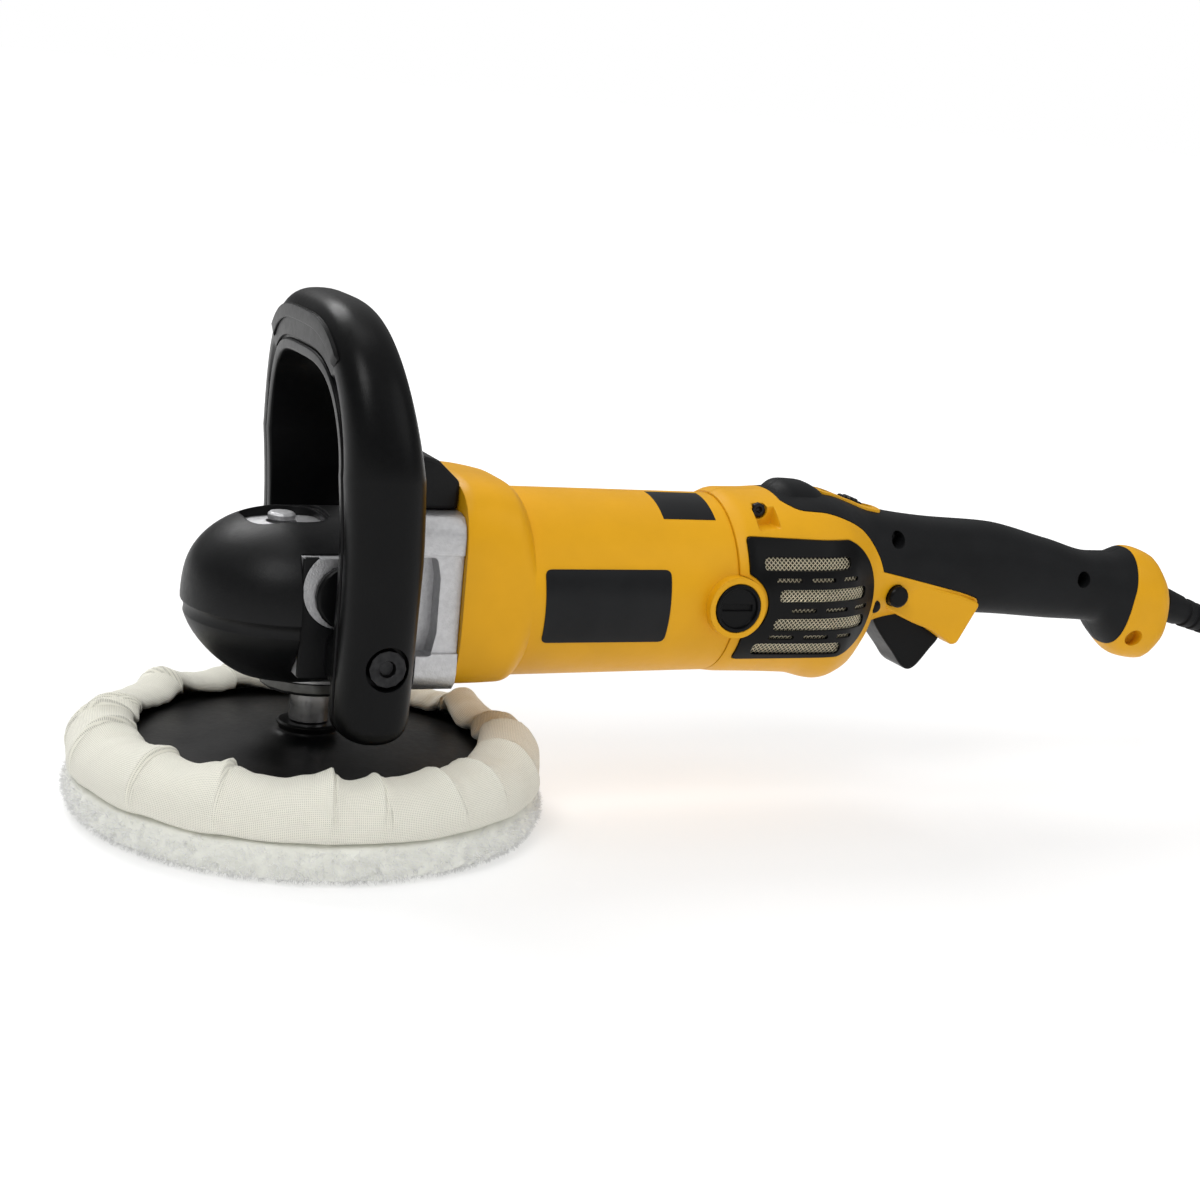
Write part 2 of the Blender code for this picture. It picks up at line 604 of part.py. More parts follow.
def gear_head_fittings():
    turned("bearing_retainer", "Z", (
        (SPINDLE_RADIUS + RUN, CASE_Z - GAP), (RETAINER_RADIUS, CASE_Z - GAP),
        (RETAINER_RADIUS, RETAINER_Z + 1.5 * MM), (RETAINER_RADIUS - 2 * MM, RETAINER_Z),
        (SPINDLE_RADIUS + RUN, RETAINER_Z)), (0, 0, 0), 18, "steel")
    bearing("lower_spindle_bearing", "Z", SPINDLE_RADIUS + GAP, LOWER_BEARING_RADIUS,
            CASE_Z + GAP, CASE_Z + GAP + LOWER_BEARING_HEIGHT, (0, 0, 0))
    bearing("upper_spindle_bearing", "Z", JOURNAL_RADIUS + GAP, UPPER_BEARING_RADIUS,
            GAP, UPPER_BEARING_HEIGHT, (0, 0, AXIS_Z + CHAMBER_TOP))
    notched("spindle_lock_ring", "Z", LOCK_NOTCHES, -LOCK_X + 3 * MM, -LOCK_X - 4 * MM, THREAD_RADIUS + GAP,
            LOCK_RING_Z, LOCK_RING_Z + LOCK_RING_THICK, (0, 0, 0), (0.2, 0.3), "steel")
    bpy.data.objects["spindle_lock_ring"].rotation_euler.z = math.pi / LOCK_NOTCHES
    tip = LOCK_RING_Z + LOCK_RING_THICK + GAP
    top = AXIS_Z + CASE_RISE - LOCK_SUNK
    turned("spindle_lock_button", "Z", (
        (0, top), (LOCK_BUTTON - 1 * MM, top), (LOCK_BUTTON, top - 1 * MM), (LOCK_BUTTON, top - LOCK_THICK),
        (2 * MM, top - LOCK_THICK), (2 * MM, tip), (0, tip)), (LOCK_X, 0, 0), 18, "alloy")
    for name, (y, z) in zip(("flange_screw_1", "flange_screw_2", "flange_screw_3", "flange_screw_4"),
                            flange_screw_places()):
        front = FLANGE_X - GAP
        turned(name, "X", ((0, HOUSING_X - 2 * GAP), (2.3 * MM, HOUSING_X - 2 * GAP), (2.3 * MM, front),
                           (4.2 * MM, front), (4.2 * MM, front - 4.5 * MM), (2.2 * MM, front - 4.5 * MM),
                           (1.9 * MM, front - 2 * MM), (0, front - 2 * MM)),
               (0, y, AXIS_Z + z), 10, "steel")
    for name, side in (("side_port_plug_left", 1), ("side_port_plug_right", -1)):
        turn = Matrix.Rotation(side * math.pi / 2, 4, "X")
        turned(name, "Y", ((0, PAD_HALF + 4 * MM), (PORT_RADIUS - 1 * MM, PAD_HALF + 4 * MM),
                           (PORT_RADIUS, PAD_HALF + 3 * MM), (PORT_RADIUS, PAD_HALF + GAP),
                           (PORT_RADIUS * 0.5, PAD_HALF + GAP), (PORT_RADIUS * 0.5, PAD_HALF - 8 * MM),
                           (0, PAD_HALF - 8 * MM)), (0, 0, AXIS_Z + PORT_RISE), 18, "black", turn)


def bail_path():
    """Stations along the bail: across, up, and the section's width and thickness there."""
    middle = BAIL_INNER + BAIL_THICK / 2
    foot = ((BAIL_FOOT, 0.40), (BAIL_FOOT - 3 * MM, 0.72), (BAIL_FOOT - 8 * MM, 0.92), (BAIL_FOOT - 15 * MM, 1.0))
    stations = [(middle, -z, wide, 0.0) for z, wide in foot]
    stations.append((middle, 0.0, 1.0, 0.0))
    rise = BAIL_TOP - BAIL_THICK / 2 - BAIL_SPRING
    arch = 18
    for i in range(arch + 1):
        a = math.pi * i / arch
        c, s = math.cos(a), math.sin(a)
        y = middle * math.copysign(abs(c) ** BAIL_ROUND, c)
        z = BAIL_SPRING + rise * abs(s) ** BAIL_ROUND
        stations.append((y, z, 1.0 - 0.12 * s, a))
    stations += [(-y, z, wide, math.pi) for y, z, wide, _ in reversed(stations[:5])]
    return stations


def bail_handle():
    rings = []
    full = BAIL_TOP - BAIL_SPRING
    stations = bail_path()
    for n, (y, z, wide, _) in enumerate(stations):
        before = stations[max(n - 1, 0)]
        after = stations[min(n + 1, len(stations) - 1)]
        along = Vector((0, after[0] - before[0], after[1] - before[1])).normalized()
        across = Vector((0, along.z, -along.y))
        lean = BAIL_RAKE * min(1.0, (z + BAIL_FOOT) / (BAIL_SPRING + BAIL_FOOT))
        lean -= BAIL_LEAN * max(0.0, (z - BAIL_SPRING) / full)
        ring = []
        for i in range(12):
            a = 2 * math.pi * (i + 0.5) / 12
            c, s = math.cos(a), math.sin(a)
            p = 0.5 * BAIL_WIDE * wide * math.copysign(abs(c) ** 0.6, c)
            q = 0.5 * BAIL_THICK * math.copysign(abs(s) ** 0.6, s)
            ring.append(Vector((BAIL_X + lean + p, y, AXIS_Z + z)) + across * q)
        rings.append(ring)
    bail = loft("bail_handle", rings, "black")
    at = (BOLT_X, 0, AXIS_Z - BOLT_DROP)
    outside = BAIL_INNER + BAIL_THICK
    for side, bolt in ((1, "bail_bolt_left"), (-1, "bail_bolt_right")):
        spans = ((PAD_HALF + GAP, BAIL_INNER + 4 * MM), (PAD_HALF, outside + 9 * MM), (outside - 7 * MM, outside + 9 * MM))
        ends = [sorted((-side * a, -side * b)) for a, b in spans]
        boolean(bail, rod("bail_boss", "Y", 9 * MM, *ends[0], at, 16), "UNION")
        boolean(bail, rod("bail_hole", "Y", BOLT_RADIUS + GAP, *ends[1], at, 12))
        boolean(bail, rod("bail_recess", "Y", 9.5 * MM, *ends[2], at, 16))
        turn = Matrix.Rotation(side * math.pi / 2, 4, "X")
        seat = outside - 7 * MM + GAP
        turned(bolt, "Y", ((0, seat + 3 * MM), (3.2 * MM, seat + 3 * MM), (3.6 * MM, seat + 6 * MM),
                           (8 * MM, seat + 6 * MM), (8 * MM, seat), (BOLT_RADIUS, seat),
                           (BOLT_RADIUS, PAD_HALF * 0.8), (0, PAD_HALF * 0.8)), at, 12, "steel", turn)


# Motor

def motor_housing():
    low = -FLANGE_HALF - 1 * MM
    rings = [oval(HOUSING_X, HUMP_TOP - 1.5 * MM, low, COLLAR_HALF, 4.0, 32),
             oval(HOUSING_X + 4 * MM, HUMP_TOP, low, COLLAR_HALF, 4.0, 32),
             oval(HOUSING_X + 0.72 * COLLAR_LENGTH, HUMP_TOP - 2.5 * MM, low, COLLAR_HALF, 3.6, 32),
             oval(HOUSING_X + COLLAR_LENGTH, BARREL_RADIUS, -BARREL_RADIUS, BARREL_RADIUS, 2.0, 32),
             oval(PARTING_X - GAP, BARREL_END, -BARREL_END, BARREL_END, 2.0, 32),
             oval(PARTING_X - GAP, SPIGOT_RADIUS, -SPIGOT_RADIUS, SPIGOT_RADIUS, 2.0, 32),
             oval(PARTING_X + SPIGOT_LENGTH, SPIGOT_RADIUS, -SPIGOT_RADIUS, SPIGOT_RADIUS, 2.0, 32)]
    housing = loft("motor_housing", rings, "yellow")
    brush = (BRUSH_X, 0, AXIS_Z - BRUSH_DROP)
    for side in (-1, 1):
        boolean(housing, rod("brush_boss", "Y", BRUSH_BOSS, *sorted((side * 20 * MM, side * BRUSH_REACH)),
                             brush, 20), "UNION")
    bore = BARREL_END - BARREL_WALL
    wall = PARTING_X + SPIGOT_LENGTH - 10 * MM
    inside = turned("housing_bore", "X", (
        (0, wall + 20 * MM), (TAIL_BEARING_RADIUS + GAP, wall + 20 * MM), (TAIL_BEARING_RADIUS + GAP, wall),
        (SPIGOT_RADIUS - 3 * MM, wall), (SPIGOT_RADIUS - 3 * MM, CORE_X + CORE_LENGTH + 8 * MM),
        (bore, CORE_X + CORE_LENGTH + 5 * MM), (bore, HOUSING_X - 1 * MM), (0, HOUSING_X - 1 * MM)),
        (0, 0, AXIS_Z), 20)
    boolean(housing, inside)
    boolean(housing, rod("brush_bore", "Y", 8 * MM + GAP, -90 * MM, 90 * MM, brush, 12))
    for side in (-1, 1):
        boolean(housing, rod("cap_bore", "Y", CAP_RADIUS + GAP,
                             *sorted((side * (BRUSH_REACH - 6 * MM), side * 90 * MM)), brush, 20))


def motor_inside():
    at = (0, 0, AXIS_Z)
    wall = PARTING_X + SPIGOT_LENGTH - 10 * MM
    back = FLANGE_X + FLANGE_THICK
    turned("armature_shaft", "X", (
        (0, wall + 9 * MM), (4 * MM, wall + 9 * MM), (4 * MM, wall - 2 * MM), (SHAFT_RADIUS, wall - 3 * MM),
        (SHAFT_RADIUS, RING_PITCH + GAP), (0, RING_PITCH + GAP)), at, 20, "steel")
    bore = SHAFT_RADIUS + GAP
    notched("armature_core", "X", CORE_SLOTS, CORE_RADIUS, CORE_RADIUS - 6 * MM, bore,
            CORE_X, CORE_X + CORE_LENGTH, at, (0.7, 0.75), "steel")
    turned("commutator", "X", (
        (bore, BRUSH_X + COMM_LENGTH / 2), (COMM_RADIUS, BRUSH_X + COMM_LENGTH / 2),
        (COMM_RADIUS, BRUSH_X - COMM_LENGTH / 2), (COMM_RADIUS + 2 * MM, BRUSH_X - COMM_LENGTH / 2 - 1 * MM),
        (COMM_RADIUS + 2 * MM, BRUSH_X - COMM_LENGTH / 2 - 4 * MM), (bore, BRUSH_X - COMM_LENGTH / 2 - 4 * MM)),
        at, 16, "copper")
    tip = BARREL_END - BARREL_WALL - 2 * MM
    notched("cooling_fan", "X", FAN_BLADES, tip, 16 * MM, bore, FAN_X, FAN_X + FAN_LENGTH, at,
            (0.14, 0.2), "black")
    inner = CORE_RADIUS + RUN
    outer = min(BARREL_END - BARREL_WALL - GAP, CORE_RADIUS + STATOR_WALL)
    turned("stator", "X", ((inner, CORE_X + CORE_LENGTH + 2 * MM), (outer, CORE_X + CORE_LENGTH + 2 * MM),
                           (outer, CORE_X - 2 * MM), (inner, CORE_X - 2 * MM)), at, 20, "copper")
    bearing("front_motor_bearing", "X", bore, MOTOR_BEARING_RADIUS, back - MOTOR_BEARING_LENGTH, back - GAP, at)
    bearing("rear_motor_bearing", "X", 4 * MM + GAP, TAIL_BEARING_RADIUS, wall, wall + 9 * MM, at)


def brush_set():
    at = (BRUSH_X, 0, AXIS_Z - BRUSH_DROP)
    seat = BRUSH_REACH - 6 * MM
    start = COMM_RADIUS + RUN
    for word, side in (("left", 1), ("right", -1)):
        def span(a, b):
            return sorted((-side * a, -side * b))
        holder = rod("brush_holder_" + word, "Y", 8 * MM, *span(start + 3 * MM, seat - GAP), at, 16, "brass")
        low, high = span(0, BRUSH_REACH)
        boolean(holder, box("brush_slot", (BRUSH_X - 4.5 * MM, low, at[2] - 3.5 * MM),
                            (BRUSH_X + 4.5 * MM, high, at[2] + 3.5 * MM)))
        low, high = span(start, start + 16 * MM)
        box("carbon_brush_" + word, (BRUSH_X - 4.2 * MM, low, at[2] - 3.2 * MM),
            (BRUSH_X + 4.2 * MM, high, at[2] + 3.2 * MM), "carbon")
        turn = Matrix.Rotation(side * math.pi / 2, 4, "X")
        cap = turned("brush_cap_" + word, "Y", (
            (0, BRUSH_REACH - 1 * MM), (CAP_RADIUS - 2 * MM, BRUSH_REACH - 1 * MM),
            (CAP_RADIUS - 1.5 * MM, BRUSH_REACH + 0.8 * MM), (CAP_RADIUS, BRUSH_REACH + 0.5 * MM),
            (CAP_RADIUS, seat + GAP), (0, seat + GAP)), at, 20, "black", turn)
        low, high = span(BRUSH_REACH - 2.5 * MM, BRUSH_REACH + 9 * MM)
        boolean(cap, box("cap_slot", (BRUSH_X - 7.5 * MM, low, at[2] - 1.4 * MM),
                         (BRUSH_X + 7.5 * MM, high, at[2] + 1.4 * MM)))


# Rear housing and grip

def rear_form(name, inset, end=1.0, count=24):
    """The whole rear body: housing, grip and flared end, drawn in by an inset."""
    rings = []
    first = PARTING_X - (10 * MM if inset > 0 else 0)
    for share, top, bottom, half in REAR_RINGS:
        x = PARTING_X + share * REAR_LENGTH if share > 0 else first
        power = 2 + (SQUARE - 2) * min(1.0, share / 0.65)
        rings.append(oval(x, top * REAR_RADIUS, bottom * REAR_RADIUS, half * REAR_RADIUS, power, count, inset))
    for share, top, bottom, half in GRIP_RINGS:
        x = GRIP_X + share * GRIP_LENGTH
        if x > GRIP_X + end * GRIP_LENGTH + 1e-6:
            break
        rings.append(oval(x, top * MM, bottom * MM, half * MM, SQUARE, count, inset))
    return loft(name, rings)


def guard_outline():
    x = GRIP_X
    return [(x + dx * MM, z * MM) for dx, z in ((14, -8), (22, -17), (32, -20), (39, -23.5), (44.5, -27),
                                                (47.5, -26), (55, -12), (57.5, -6))]


def yellow_outline(grow):
    """Side view of the yellow part of the rear housing, down to the trigger guard."""
    x = GRIP_X
    points = ((-56, 80), (-56, 42), (-49, 39), (-36, 38), (-25, 35), (-15.5, 30.5), (-9, 24.5), (-4, 17.5),
              (-0.6, 10), (46, -1), (52, -2.8), (57.5, -5.5), (60, -14), (60, -80))
    line = [(x + dx * MM + grow, z * MM + (grow if i > 1 else 0)) for i, (dx, z) in enumerate(points)]
    return line + [(PARTING_X - 30 * MM, -80 * MM), (PARTING_X - 30 * MM, 80 * MM)]


def end_outline(grow):
    x = END_X - END_CAP
    return [(x + dx * MM - grow, z * MM) for dx, z in ((4, 60), (0, 7), (-2, -6), (-5, -28), (-8, -70))] + [
        (END_X + 30 * MM, -70 * MM), (END_X + 30 * MM, 60 * MM)]


def filter_outline(grow):
    """Rounded D behind the brush cap; its front edge curves round the cap's collar."""
    left = PARTING_X + 4 * MM - grow
    collar = BRUSH_BOSS + 2 * MM - grow
    rise = math.sqrt(collar ** 2 - (left - BRUSH_X) ** 2)
    around = math.degrees(math.atan2(rise, left - BRUSH_X))
    front = arc(BRUSH_X, -BRUSH_DROP, collar, -around, around, 6)
    top, low = 28.5 * MM + grow, -29 * MM - grow
    right = GRIP_X - 7 * MM + grow
    bow = arc(right - 29 * MM, -0.2 * MM, 29 * MM, 72, -72, 8)
    return front + [(left, top)] + bow + [(left, low)]


def filter_slots():
    """Start and end of the four long windows, with their middle heights."""
    x = PARTING_X
    return ((x + 11 * MM, x + 57 * MM, 17.5 * MM), (x + 19 * MM, x + 69 * MM, 3.2 * MM),
            (x + 18 * MM, x + 70 * MM, -10.5 * MM), (x + 11 * MM, x + 57 * MM, -23 * MM))


def screw_places():
    x = GRIP_X
    return ((PARTING_X + 16 * MM, 38 * MM, 27 * MM), (x + 8 * MM, 24.5 * MM, 18 * MM),
            (x + 0.67 * GRIP_LENGTH, 5 * MM, 16 * MM))


def rear_shells():
    form = rear_form("rear_outer", 0.0)
    guard = prism("guard", guard_outline(), -19 * MM, 19 * MM)
    boolean(form, guard, "UNION")
    rest = [oval(GRIP_X + dx * MM, top * MM, 20 * MM, half * MM, SQUARE, 16) for dx, top, half in HUMP_RINGS]
    boolean(form, loft("thumb_rest", rest), "UNION")
    hollow = rear_form("rear_hollow", REAR_WALL, end=0.74, count=12)
    reach = 90 * MM
    for x, z, _ in screw_places():
        boolean(hollow, rod("screw_post", "Y", 5.6 * MM, -reach, reach, (x, 0, AXIS_Z + z), 8))
    slot = box("trigger_slot", (GRIP_X + 0.5 * MM, -TRIGGER_HALF - TRIGGER_PLAY, AXIS_Z - 60 * MM),
               (GRIP_X + 46 * MM, TRIGGER_HALF + TRIGGER_PLAY, AXIS_Z))
    dial = box("dial_slot", (GRIP_X - 27 * MM, -DIAL_WIDE / 2 - RUN, AXIS_Z + 20 * MM),
               (GRIP_X + 1 * MM, DIAL_WIDE / 2 + RUN, AXIS_Z + 60 * MM))
    brush = rod("rear_brush_cut", "Y", BRUSH_BOSS + GAP, -reach, reach, (BRUSH_X, 0, AXIS_Z - BRUSH_DROP), 24)
    lock_on = rod("lock_on_hole", "Y", LOCK_ON_RADIUS + GAP, -reach, 0, (GRIP_X + 9 * MM, 0, AXIS_Z - 2 * MM), 20)
    filters = prism("filter_cut", filter_outline(GAP), -reach, reach)
    yellow = prism("yellow_region", yellow_outline(0.0), -reach, reach)
    black = prism("yellow_grown", yellow_outline(GAP), -reach, reach)
    tail = prism("end_grown", end_outline(GAP), -reach, reach)
    for word, side in (("left", -1), ("right", 1)):
        low, high = sorted((side * GAP / 2, side * reach))
        half = box("half_" + word, (PARTING_X - 50 * MM, low, 0), (END_X + 50 * MM, high, 2 * AXIS_Z))
        for name, look in (("rear_housing_" + word, "yellow"), ("grip_" + word, "rubber")):
            shell = place(name, half.data.copy(), look)
            boolean(shell, form, "INTERSECT")
            boolean(shell, hollow)
            if look == "yellow":
                boolean(shell, yellow, "INTERSECT")
                boolean(shell, brush)
                boolean(shell, filters)
            else:
                boolean(shell, black)
                boolean(shell, tail)
            boolean(shell, slot)
            boolean(shell, dial)
            if word == "left":
                boolean(shell, lock_on)
            for x, z, depth in screw_places():
                at = (x, 0, AXIS_Z + z)
                shank = (-depth, 0) if word == "left" else (0, 13 * MM)
                boolean(shell, rod("shank_hole", "Y", SCREW_SHANK + GAP, *shank, at, 8))
                if word == "left":
                    boolean(shell, rod("head_hole", "Y", SCREW_HEAD + 0.6 * MM, -reach, -depth + 9 * MM, at, 12))
    cap = place("handle_end_cap", form.data.copy(), "yellow")
    boolean(cap, prism("end_region", end_outline(0.0), -reach, reach), "INTERSECT")
    for side in (-1, 1):
        low, high = sorted((side * 11 * MM, side * reach))
        boolean(cap, rod("cap_pocket", "Y", 4.3 * MM, low, high, (END_X - 22.5 * MM, 0, AXIS_Z - 25 * MM), 14))
    boolean(cap, rod("cord_hole", "X", BOOT_ROOT - 1.2 * MM, END_X - 60 * MM, END_X + 30 * MM,
                     (0, 0, AXIS_Z - 10 * MM), 20))


def rear_fittings():
    for number, (x, z, depth) in enumerate(screw_places()):
        seat = -depth + 9 * MM - GAP
        turn = Matrix.Rotation(math.pi / 2, 4, "X")
        turned("handle_screw_%d" % (number + 1), "Y", (
            (0, -seat + 2.2 * MM), (1.4 * MM, -seat + 1.2 * MM), (1.6 * MM, -seat + 2.6 * MM),
            (SCREW_HEAD, -seat + 2.6 * MM), (SCREW_HEAD, -seat), (SCREW_SHANK, -seat), (SCREW_SHANK, -11 * MM),
            (0, -12 * MM)), (x, 0, AXIS_Z + z), 8, "steel", turn)
    x = GRIP_X
    trigger = prism("trigger", [(x + dx * MM, z * MM) for dx, z in (
        (2, -9), (4, -18), (9, -25), (17, -32), (25, -39), (29, -41.8), (33, -39.5), (39, -32), (43, -27),
        (44.5, -22), (44.5, -13), (36, -8.5), (20, -6), (6, -5.5))], -TRIGGER_HALF, TRIGGER_HALF, "black")
    set_origin(trigger, (x + TRIGGER_PIVOT[0], 0, AXIS_Z + TRIGGER_PIVOT[1]))
    soft = trigger.modifiers.new("soften", "BEVEL")
    soft.width = 1.5 * MM
    soft.segments = 1
    soft.limit_method = "ANGLE"
    soft.angle_limit = math.radians(60)
    turn = Matrix.Rotation(math.pi / 2, 4, "X")
    turned("lock_on_button", "Y", (
        (0, 26 * MM), (LOCK_ON_RADIUS - 1 * MM, 26 * MM), (LOCK_ON_RADIUS, 25 * MM), (LOCK_ON_RADIUS, 14 * MM),
        (0, 14 * MM)), (x + 9 * MM, 0, AXIS_Z - 2 * MM), 16, "black", turn)
    notched("speed_dial", "Y", 12, DIAL_RADIUS, DIAL_RADIUS - 0.8 * MM, 2 * MM, -DIAL_WIDE / 2, DIAL_WIDE / 2,
            (x - 13 * MM, 0, AXIS_Z + 30 * MM), (0.3, 0.5), "black")
    box("switch_body", (x + 17 * MM, -SWITCH_HALF, AXIS_Z + 1 * MM), (x + 50 * MM, SWITCH_HALF, AXIS_Z + 18 * MM), "black")


def intake_filters():
    outer = rear_form("filter_outer", -FILTER_PROUD)
    inner = rear_form("filter_inner", FILTER_THICK - FILTER_PROUD)
    mesh_outer = rear_form("mesh_outer", FILTER_THICK - FILTER_PROUD + GAP)
    mesh_inner = rear_form("mesh_inner", FILTER_THICK - FILTER_PROUD + GAP + MESH_THICK)
    for word, side in (("left", -1), ("right", 1)):
        ends = sorted((side * 15 * MM, side * 90 * MM))
        frame = prism("filter_frame_" + word, filter_outline(0.0), *ends, "black")
        for start, end, z in filter_slots():
            boolean(frame, box("filter_slot", (start, ends[0] - 1 * MM, AXIS_Z + z - 3 * MM),
                               (end, ends[1] + 1 * MM, AXIS_Z + z + 3 * MM)))
        boolean(frame, outer, "INTERSECT")
        boolean(frame, inner)
        screen = prism("filter_mesh_" + word, filter_outline(-1.5 * MM), *ends, "mesh")
        boolean(screen, mesh_outer, "INTERSECT")
        boolean(screen, mesh_inner)


# Cord

def tube(name, points, radius, look, rounds):
    data = bpy.data.curves.new(name, "CURVE")
    data.dimensions = "3D"
    line = data.splines.new("POLY")
    line.points.add(len(points) - 1)
    for spot, where in zip(line.points, points):
        spot.co = (*where, 1.0)
    data.bevel_depth = radius
    data.bevel_resolution = rounds
    data.use_fill_caps = True
    return place(name, data, look)


def boot_axis():
    along = Vector((math.cos(CORD_SLOPE), 0, -math.sin(CORD_SLOPE)))
    return Vector((END_X, 0, AXIS_Z - 10 * MM)), along


def cord_boot():
    at, along = boot_axis()
    turn = Matrix.Rotation(math.pi / 2 + CORD_SLOPE, 4, "Y")
    turned("cord_boot", "X", (
        (0, BOOT_LENGTH), (CORD_RADIUS + 1 * MM, BOOT_LENGTH), (CORD_RADIUS + 1.8 * MM, BOOT_LENGTH * 0.5),
        (BOOT_ROOT - 0.8 * MM, BOOT_LENGTH * 0.15), (BOOT_ROOT, 5 * MM), (BOOT_ROOT, 3.4 * MM),
        (0, 3.4 * MM)), at, 20, "rubber", turn)


def coil_points():
    """Down one layer inward, half a turn to climb, then outward on the layer above."""
    centre = Vector((END_X + COIL_X, COIL_Y, COIL_Z))
    total = 2 * COIL_TURNS + 0.5
    count = int(16 * total)
    points = []
    for i in range(count + 1):
        turns = total * i / count
        angle = math.pi / 2 - 2 * math.pi * turns
        if turns < COIL_TURNS:
            r, z = COIL_OUTER - COIL_PITCH * turns, 0.0
        elif turns < COIL_TURNS + 0.5:
            s = (turns - COIL_TURNS) / 0.5
            r = COIL_INNER - COIL_DIP * math.sin(math.pi * s)
            z = COIL_PITCH * (1 - math.cos(math.pi * s)) / 2
        else:
            r, z = COIL_INNER + COIL_PITCH * (turns - COIL_TURNS - 0.5), COIL_PITCH
        points.append(centre + Vector((r * math.cos(angle), r * math.sin(angle), z)))
    return points


def hermite(start, start_way, end, end_way, count):
    points = []
    for i in range(count + 1):
        t = i / count
        points.append(start * (2 * t ** 3 - 3 * t ** 2 + 1) + start_way * (t ** 3 - 2 * t ** 2 + t)
                      + end * (3 * t ** 2 - 2 * t ** 3) + end_way * (t ** 3 - t ** 2))
    return points


def least_gap(points):
    """Smallest space between two turns of the coil, skin to skin."""
    near = 1.0
    for i, a in enumerate(points):
        for b in points[i + 8:]:
            near = min(near, (a - b).length)
    return near - 2 * CORD_RADIUS


def cord():
    coil = coil_points()
    print("coil gap mm", round(least_gap(coil) / MM, 2))
    at, along = boot_axis()
    start = at + along * (BOOT_LENGTH + 2 * GAP)
    way = (coil[1] - coil[0]).normalized()
    straight = 2 * CORD_RADIUS
    join = coil[0] - way * straight
    end = join - way * 3 * GAP
    first, last = start + along * straight, end - way * straight
    reach = (last - first).length
    lead = hermite(first, along * reach, last, way * reach, 14)
    tube("power_cord", [start] + lead + [end], CORD_RADIUS, "rubber", 2)
    out = coil[-1]
    stop = Vector((out.x - TAIL_LENGTH, out.y, PLUG_HALF + GAP))
    flat = Vector((-1, 0, 0)) * TAIL_LENGTH
    tail = hermite(out, flat, stop - flat.normalized() * straight, flat, 6)
    tube("cord_coil", [join] + coil + tail[1:] + [stop], CORD_RADIUS, "rubber", 1)
    plug(stop)
    coil_tie()


def plug(at):
    sizes = ((GAP, 0.55), (10 * MM, 0.6), (20 * MM, 0.95), (PLUG_LENGTH - 3 * MM, 1.0), (PLUG_LENGTH, 0.88))
    rings = []
    for along, share in sizes:
        ring = []
        for i in range(12):
            a = 2 * math.pi * (i + 0.5) / 12
            c, s = math.cos(a), math.sin(a)
            ring.append((at.x - along, at.y + PLUG_HALF * share * math.copysign(abs(c) ** 0.6, c),
                         at.z + PLUG_HALF * share * math.copysign(abs(s) ** 0.6, s)))
        rings.append(ring)
    loft("plug_body", rings, "rubber")
    face = at.x - PLUG_LENGTH - GAP
    for name, side in (("plug_blade_1", -1), ("plug_blade_2", 1)):
        y = at.y + side * 6.3 * MM
        box(name, (face - BLADE_LENGTH, y - 0.8 * MM, at.z - 3.2 * MM), (face, y + 0.8 * MM, at.z + 3.2 * MM), "brass")


def coil_tie():
    """A flat strap that goes once round the bundle, on the far side of the coil."""
    slack = 1.2 * MM
    inner = COIL_INNER - COIL_DIP - CORD_RADIUS - slack
    outer = COIL_OUTER + CORD_RADIUS + slack
    low = COIL_Z - CORD_RADIUS - GAP
    high = COIL_Z + COIL_PITCH + CORD_RADIUS + GAP
    x, y = END_X + COIL_X, COIL_Y
    loops = []
    for grow in (0.0, TIE_THICK):
        corners = ((inner - grow, low - grow), (outer + grow, low - grow), (outer + grow, high + grow),
                   (inner - grow, high + grow))
        for half in (-TIE_WIDE / 2, TIE_WIDE / 2):
            loops.append([(x + r, y + half, z) for r, z in corners])
    loft("cord_tie", [loops[0], loops[1], loops[3], loops[2]], "rubber", ring_closed=True)


def main():
    wool_pile()
    bonnet_skirt()
    backing_plate()
    pad_nut()
    spindle()
    ring_gear()
    pinion_gear()
    gear_case()
    gear_case_boot()
    gear_head_fittings()
    bail_handle()
    motor_housing()
    motor_inside()
    brush_set()
    rear_shells()
    rear_fittings()
    intake_filters()
    cord_boot()
    cord()


main()
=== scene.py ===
"""Looks for the rotary polisher: fine shells, cloth bonnet, wool, cord, trim, finishes and stage."""
import bisect
import math
import random

import bmesh
import bpy
from bpy.props import FloatProperty, FloatVectorProperty, IntProperty, PointerProperty
from mathutils import Matrix, Vector, noise


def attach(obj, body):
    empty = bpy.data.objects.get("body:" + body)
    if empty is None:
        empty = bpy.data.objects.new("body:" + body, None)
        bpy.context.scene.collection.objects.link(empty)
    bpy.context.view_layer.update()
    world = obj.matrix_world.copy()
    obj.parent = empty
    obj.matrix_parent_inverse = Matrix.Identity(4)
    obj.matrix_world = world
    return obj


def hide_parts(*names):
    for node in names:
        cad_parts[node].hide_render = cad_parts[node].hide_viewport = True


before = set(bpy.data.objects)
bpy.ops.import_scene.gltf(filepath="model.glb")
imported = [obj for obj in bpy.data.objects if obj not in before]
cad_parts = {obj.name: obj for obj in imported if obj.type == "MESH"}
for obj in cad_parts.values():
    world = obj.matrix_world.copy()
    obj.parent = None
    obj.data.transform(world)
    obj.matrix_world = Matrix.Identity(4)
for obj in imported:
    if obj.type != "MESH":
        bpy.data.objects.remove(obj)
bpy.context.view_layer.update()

bl_info = {
    "name": "Rotary polisher looks",
    "version": (1, 1, 0),
    "blender": (4, 5, 0),
    "location": "View3D > Sidebar > Polisher",
    "description": "Dresses the packed rotary polisher with fine shells, cloth, wool, cord and finishes",
    "category": "Object",
}

MM = 0.001

